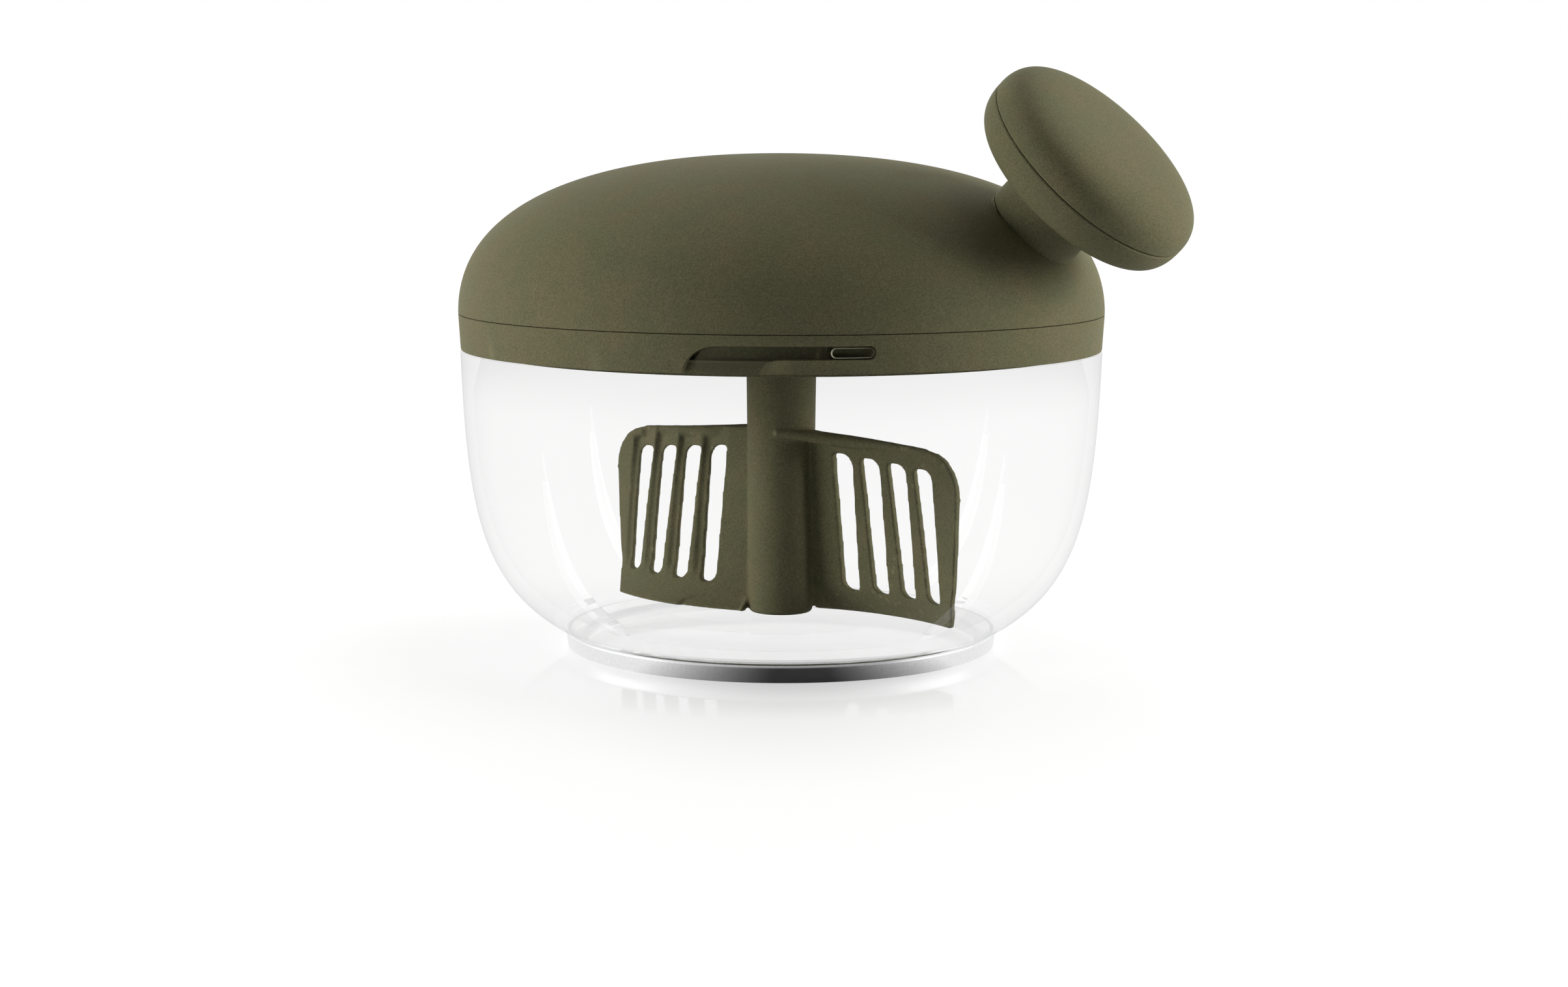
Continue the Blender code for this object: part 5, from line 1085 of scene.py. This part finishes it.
def clear_san(name, tint, edge_tint, shine, edge_shine, mirrored):
    """Clear styrene acrylonitrile, polished: greyed a little by its thickness, with painted shade towards
    its top under the lid ring, a mirror at its edges.

    The wall is thin and the photograph shows the tool straight through it, so light passes
    unbent. The tints are what passes head on and at a grazing angle, the shines what is mirrored,
    and the last is the colour of what is mirrored.
    """
    material = bpy.data.materials.new(name)
    material.use_nodes = True
    tree = material.node_tree
    tree.nodes.remove(tree.nodes["Principled BSDF"])
    place = node(tree, "ShaderNodeTexCoord")
    ripple = node(tree, "ShaderNodeTexNoise", {"Vector": place.outputs["Object"],
                                               "Scale": per_mm(14.0), "Detail": 2.0})
    bump = node(tree, "ShaderNodeBump", {"Strength": 0.10, "Distance": 0.0004, "Height": ripple})
    rough = node(tree, "ShaderNodeMapRange", (ripple, 0.3, 0.7, 0.02, 0.06))
    slope = node(tree, "ShaderNodeLayerWeight", {"Blend": 0.5})
    steep = node(tree, "ShaderNodeMath", (slope.outputs["Facing"], 7.0), operation="POWER")
    grey = node(tree, "ShaderNodeMapRange", (steep, 0.0, 1.0, tint, edge_tint))
    # Painted shade: the bowl darkens towards its top, under the lid ring.
    height = node(tree, "ShaderNodeSeparateXYZ", (place.outputs["Object"],))
    upper = node(tree, "ShaderNodeMapRange",
                 (height.outputs["Z"], STEP_START - 0.003, SHOULDER_TOP, 1.0, 0.965),
                 interpolation_type="SMOOTHSTEP")
    tint_and_painted_shade = node(tree, "ShaderNodeMath", (grey, upper), operation="MULTIPLY")
    through = node(tree, "ShaderNodeBsdfTransparent", {"Color": tint_and_painted_shade})
    mirror = node(tree, "ShaderNodeBsdfGlossy",
                  {"Color": linear(mirrored), "Roughness": rough, "Normal": bump})
    share = node(tree, "ShaderNodeMapRange", (steep, 0.0, 1.0, shine, edge_shine))
    both = node(tree, "ShaderNodeMixShader", (share, through, mirror))
    wire(tree, tree.nodes["Material Output"], {"Surface": both})
    return material


def san_lug_rim_painted_highlight():
    """The same SAN at the lugs' rims, pale and nearly opaque: a painted highlight in place of the light the
    clear edge catches.
    """
    return speckled("san_lug_rim_painted_highlight", "#DEDFC6", 0.35, 0.50, 0.6, {"IOR": 1.5, "Alpha": 0.95})


def speckled(name, hex_colour, low, high, size, inputs, distance=0.00004):
    """A plain finish whose colour and roughness vary with one fine noise."""
    material, tree, shader = new_material(name, inputs)
    if tree is None:
        return material
    place = node(tree, "ShaderNodeTexCoord")
    speck = node(tree, "ShaderNodeTexNoise", {"Vector": place.outputs["Object"],
                                              "Scale": per_mm(size), "Detail": 4.0})
    base = linear(hex_colour)
    colour = mixed(tree, speck, tuple(v * 0.88 for v in base[:3]) + (1.0,),
                   tuple(min(1.0, v * 1.10) for v in base[:3]) + (1.0,))
    rough = node(tree, "ShaderNodeMapRange", (speck, 0.3, 0.7, low, high))
    bump = node(tree, "ShaderNodeBump", {"Strength": 0.3, "Distance": distance, "Height": speck})
    wire(tree, shader, {"Base Color": colour, "Roughness": rough, "Normal": bump})
    return material


def satin_foot_band():
    """Satin grey elastomer with a metallic pigment, which picks up the bright sides of the room."""
    return speckled("satin_grey_elastomer", "#EDEDEE", 0.18, 0.26, 0.5,
                    {"Metallic": 0.95, "IOR": 1.5}, 0.00001)


def pale_elastomer_painted_glow():
    """The foot band's hidden side: milky elastomer without pigment, with a painted glow that stands in for
    the white table's light through it.
    """
    # Painted glow: the emission lights the hidden side, though it is no lamp.
    return speckled("pale_elastomer_painted_glow", "#9A9A9A", 0.45, 0.60, 0.6,
                    {"IOR": 1.3, "Emission Color": (1.0, 1.0, 1.0, 1.0), "Emission Strength": 0.68})


def seal_rubber():
    """Silicone rubber tinted to go with the lid, dusty matte."""
    return speckled("silicone_seal", "#65644C", 0.55, 0.70, 0.8, {"IOR": 1.41})


def white_acetal():
    """Natural acetal: waxy white with a soft sheen."""
    return speckled("natural_acetal", "#E6E4DD", 0.30, 0.40, 1.2,
                    {"IOR": 1.48, "Subsurface Weight": 0.05, "Subsurface Scale": 0.0006})


def sintered_bronze():
    """Oil-soaked sintered bronze: dull gold with open pores."""
    return speckled("sintered_bronze", "#B08A55", 0.32, 0.50, 0.35, {"Metallic": 1.0})


def turned_steel():
    """Machined steel: fine marks of the tool, slightly dull."""
    return speckled("machined_steel", "#C4C5C8", 0.22, 0.36, 0.25, {"Metallic": 1.0}, 0.00002)


# Outside, inside, ribs, the thick root above the foot band, and the rim inside the lid ring
BOWL_FINISHES = (
    ("clear_san", 0.952, 0.80, 0.004, 0.30, "#FBFCFC"),
    ("clear_san_inside", 0.996, 0.985, 0.002, 0.10, "#FBFCFC"),
    ("clear_san_rib_painted_glow", 1.055, 0.72, 0.030, 0.35, "#FBFCFC"),   # a tint above one lets out more light than reaches the rib: painted brightening of the ribs
    ("clear_san_root", 0.93, 0.88, 0.20, 0.45, "#FBFCFC"),
    ("clear_san_rim", 0.99, 0.95, 0.028, 0.25, "#FBF6C8"),
)
# A name that ends in an underscore stands for its three numbered pieces
INNER_FINISHES = (
    (seal_rubber, ("lid_seal",)),
    (dark_olive_abs, ("gear_plate",)),
    (sintered_bronze, ("spindle_bush",)),
    (white_acetal, ("ring_gear", "retaining_ring", "glide_ring", "knob_bush", "planet_gear_",
                    "sun_gear")),
    (turned_steel, ("planet_pin_", "plate_screw_", "dome_screw_", "knob_axle", "axle_washer",
                    "axle_screw", "drive_spindle", "spindle_clip")),
)


class CHOPPER_OT_inner(bpy.types.Operator):
    """Finish the inner pieces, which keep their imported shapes"""

    bl_idname = "chopper.inner"
    bl_label = "Inner pieces"

    def execute(self, context):
        for make, names in INNER_FINISHES:
            for name in names:
                for ending in ("1", "2", "3") if name.endswith("_") else ("",):
                    mesh = frame["nodes"][name + ending].data
                    mesh.materials.clear()
                    mesh.materials.append(make())
        return {"FINISHED"}


# Studio
def dark_front(tree, way, card, start, full, light, dark):
    """Brightness of the room by direction: a dark card in front, brighter towards the sides."""
    toward = node(tree, "ShaderNodeVectorMath", (way, card), operation="DOT_PRODUCT")
    return node(tree, "ShaderNodeMapRange", (toward.outputs["Value"], start, full, light, dark))


def studio_floor_material():
    """White acrylic table: white to the eye, keeps the shadow, has a painted grey shadow in front of the
    foot, shows reflections a painted dark card in front, and mirrors faintly near the foot.
    """
    material = bpy.data.materials.new("white_table")
    material.use_nodes = True
    tree = material.node_tree
    tree.nodes.remove(tree.nodes["Principled BSDF"])
    rays = node(tree, "ShaderNodeLightPath")
    place = node(tree, "ShaderNodeTexCoord").outputs["Object"]
    far = node(tree, "ShaderNodeVectorMath", (place,), operation="LENGTH").outputs["Value"]
    way = node(tree, "ShaderNodeVectorMath", (place,), operation="NORMALIZE")
    # Painted shadow: a grey oval patch darkens the table's glow in front of the foot.
    patch = node(tree, "ShaderNodeVectorMath", (place, PAINTED_SHADOW_PLACE), operation="SUBTRACT")
    oval = node(tree, "ShaderNodeVectorMath", (patch, PAINTED_SHADOW_SCALE), operation="MULTIPLY")
    off = node(tree, "ShaderNodeVectorMath", (oval,), operation="LENGTH")
    painted_shadow_ramp = node(tree, "ShaderNodeValToRGB", (off.outputs["Value"],))
    stops = painted_shadow_ramp.color_ramp.elements
    for stop, value in zip(stops, (PAINTED_SHADOW_DARK, PAINTED_SHADOW_LIGHT)):
        stop.color = (value, value, value, 1.0)
    for position, value in PAINTED_SHADOW_RISE:
        stops.new(position).color = (value, value, value, 1.0)
    away = node(tree, "ShaderNodeMapRange", (far, 0.30, 1.50, 0.0, 0.16))
    bright = node(tree, "ShaderNodeMath", (painted_shadow_ramp, away), operation="ADD")
    lit = node(tree, "ShaderNodeBsdfDiffuse", {"Color": (0.62, 0.62, 0.62, 1.0)})
    soft = node(tree, "ShaderNodeBsdfDiffuse", {"Color": (0.24, 0.24, 0.24, 1.0)})
    glow = node(tree, "ShaderNodeEmission", {"Color": (1.0, 1.0, 1.0, 1.0), "Strength": bright})
    white = node(tree, "ShaderNodeAddShader", (soft, glow))
    mirror = node(tree, "ShaderNodeBsdfGlossy", {"Color": (1.0, 1.0, 1.0, 1.0), "Roughness": 0.05})
    fade = node(tree, "ShaderNodeMapRange", (far, 0.050, 0.088, 0.30, 0.0))
    shown = node(tree, "ShaderNodeMixShader", (fade, white, mirror))
    # Painted reflection: to glossy rays the table shows a dark card in front, which no object casts.
    front = dark_front(tree, way, FLOOR_CARD, 0.68, 0.99, 0.96, 0.02)
    room = node(tree, "ShaderNodeEmission", {"Strength": front})
    glossy = node(tree, "ShaderNodeMixShader", (rays.outputs["Is Glossy Ray"], lit, room))
    both = node(tree, "ShaderNodeMixShader", (rays.outputs["Is Camera Ray"], glossy, shown))
    wire(tree, tree.nodes["Material Output"], {"Surface": both})
    return material


def softbox(name, place, width, height, power, colour):
    """A rectangular light that faces the object's middle."""
    light = bpy.data.lights.new(name, "AREA")
    light.shape = "RECTANGLE"
    light.size = width
    light.size_y = height
    light.energy = power
    light.color = colour
    lamp = bpy.data.objects.new(name, light)
    bpy.context.scene.collection.objects.link(lamp)
    direction = Vector(LIGHT_TARGET) - Vector(place)
    lamp.visible_glossy = False
    lamp.matrix_world = Matrix.Translation(place) @ direction.to_track_quat("-Z", "Y").to_matrix().to_4x4()
    return lamp


def white_room():
    """World: white to the camera and through plastic, bright sides and a dim front in reflections."""
    studio = bpy.context.scene.chopper_studio
    world = bpy.data.worlds.new("studio")
    bpy.context.scene.world = world
    world.use_nodes = True
    tree = world.node_tree
    rays = node(tree, "ShaderNodeLightPath")
    seen = node(tree, "ShaderNodeMath",
                (rays.outputs["Is Camera Ray"], rays.outputs["Is Transmission Ray"]),
                operation="MAXIMUM")
    way = node(tree, "ShaderNodeTexCoord").outputs["Generated"]
    split = node(tree, "ShaderNodeSeparateXYZ", (way,))
    soft = node(tree, "ShaderNodeMapRange",
                (split.outputs["Y"], -0.9, 0.5, studio.fill * 0.25, studio.fill))
    side = node(tree, "ShaderNodeMath", (split.outputs["X"],), operation="ABSOLUTE")
    boxes = node(tree, "ShaderNodeMapRange", (side, 0.86, 0.99, 0.0, 0.9))
    front = dark_front(tree, way, DARK_CARD, 0.0, 0.92, 1.12, 0.30)
    mirrored = node(tree, "ShaderNodeMath", (front, boxes), operation="ADD")
    glossy = node(tree, "ShaderNodeMix", {0: rays.outputs["Is Glossy Ray"], 2: soft, 3: mirrored},
                  data_type="FLOAT")
    total = node(tree, "ShaderNodeMath", (seen, glossy), operation="MAXIMUM")
    wire(tree, tree.nodes["Background"], {"Color": (1.0, 1.0, 1.0, 1.0), "Strength": total})


class CHOPPER_OT_stage(bpy.types.Operator):
    """Set up the floor, the lights, the world and the camera"""

    bl_idname = "chopper.stage"
    bl_label = "Studio"

    def execute(self, context):
        scene = context.scene
        studio = scene.chopper_studio
        shape = bmesh.new()
        bmesh.ops.create_grid(shape, x_segments=1, y_segments=1, size=4.0)
        floor = new_object("floor", shape)
        floor.data.materials.append(studio_floor_material())
        tint = tuple(studio.tint)
        softbox("left_softbox", (-0.90, -0.17, 0.25), 0.5, 0.48, studio.left, tint)
        softbox("right_softbox", (0.92, 0.0, 0.25), 0.5, 0.48, studio.right, tint)
        softbox("overhead", (0.20, 0.28, 0.95), 0.9, 0.6, studio.top, tint)
        white_room()
        view = bpy.data.cameras.new("camera")
        view.sensor_width = 36.0
        view.sensor_fit = "HORIZONTAL"
        view.lens = CAMERA_LENS
        view.clip_start = 0.01
        camera = bpy.data.objects.new("camera", view)
        scene.collection.objects.link(camera)
        camera.matrix_world = (Matrix.Translation(CAMERA_PLACE)
                               @ Matrix.Rotation(math.radians(90.0) - CAMERA_DIP, 4, "X")
                               @ Matrix.Rotation(CAMERA_ROLL, 4, "Z"))
        scene.camera = camera
        scene.view_settings.view_transform = "Standard"
        return {"FINISHED"}


class CHOPPER_PT_panel(bpy.types.Panel):
    """Lists the pieces of the food chopper"""

    bl_idname = "CHOPPER_PT_panel"
    bl_label = "Food Chopper"
    bl_space_type = "VIEW_3D"
    bl_region_type = "UI"
    bl_category = "Food Chopper"

    def draw(self, context):
        for group in (context.scene.chopper_finish, context.scene.chopper_studio):
            box = self.layout.box()
            for name in group.__annotations__:
                box.prop(group, name)
        for step in STEPS:
            self.layout.operator(step.bl_idname)


STEPS = (CHOPPER_OT_stage, CHOPPER_OT_bowl, CHOPPER_OT_foot, CHOPPER_OT_lid, CHOPPER_OT_dome,
         CHOPPER_OT_knob, CHOPPER_OT_paddle, CHOPPER_OT_inner)
CLASSES = (ChopperFinish, ChopperStudio) + STEPS + (CHOPPER_PT_panel,)


def register():
    """Add the classes and their settings to Blender."""
    for item in CLASSES:
        bpy.utils.register_class(item)
    bpy.types.Scene.chopper_finish = PointerProperty(type=ChopperFinish)
    bpy.types.Scene.chopper_studio = PointerProperty(type=ChopperStudio)


def unregister():
    """Take them out again."""
    del bpy.types.Scene.chopper_studio
    del bpy.types.Scene.chopper_finish
    for item in reversed(CLASSES):
        bpy.utils.unregister_class(item)


def main():
    """Run every step in order."""
    register()
    bpy.ops.chopper.stage()
    bpy.ops.chopper.bowl()
    bpy.ops.chopper.foot()
    bpy.ops.chopper.lid()
    bpy.ops.chopper.dome()
    bpy.ops.chopper.knob()
    bpy.ops.chopper.paddle()
    bpy.ops.chopper.inner()


if __name__ == "__main__":
    main()
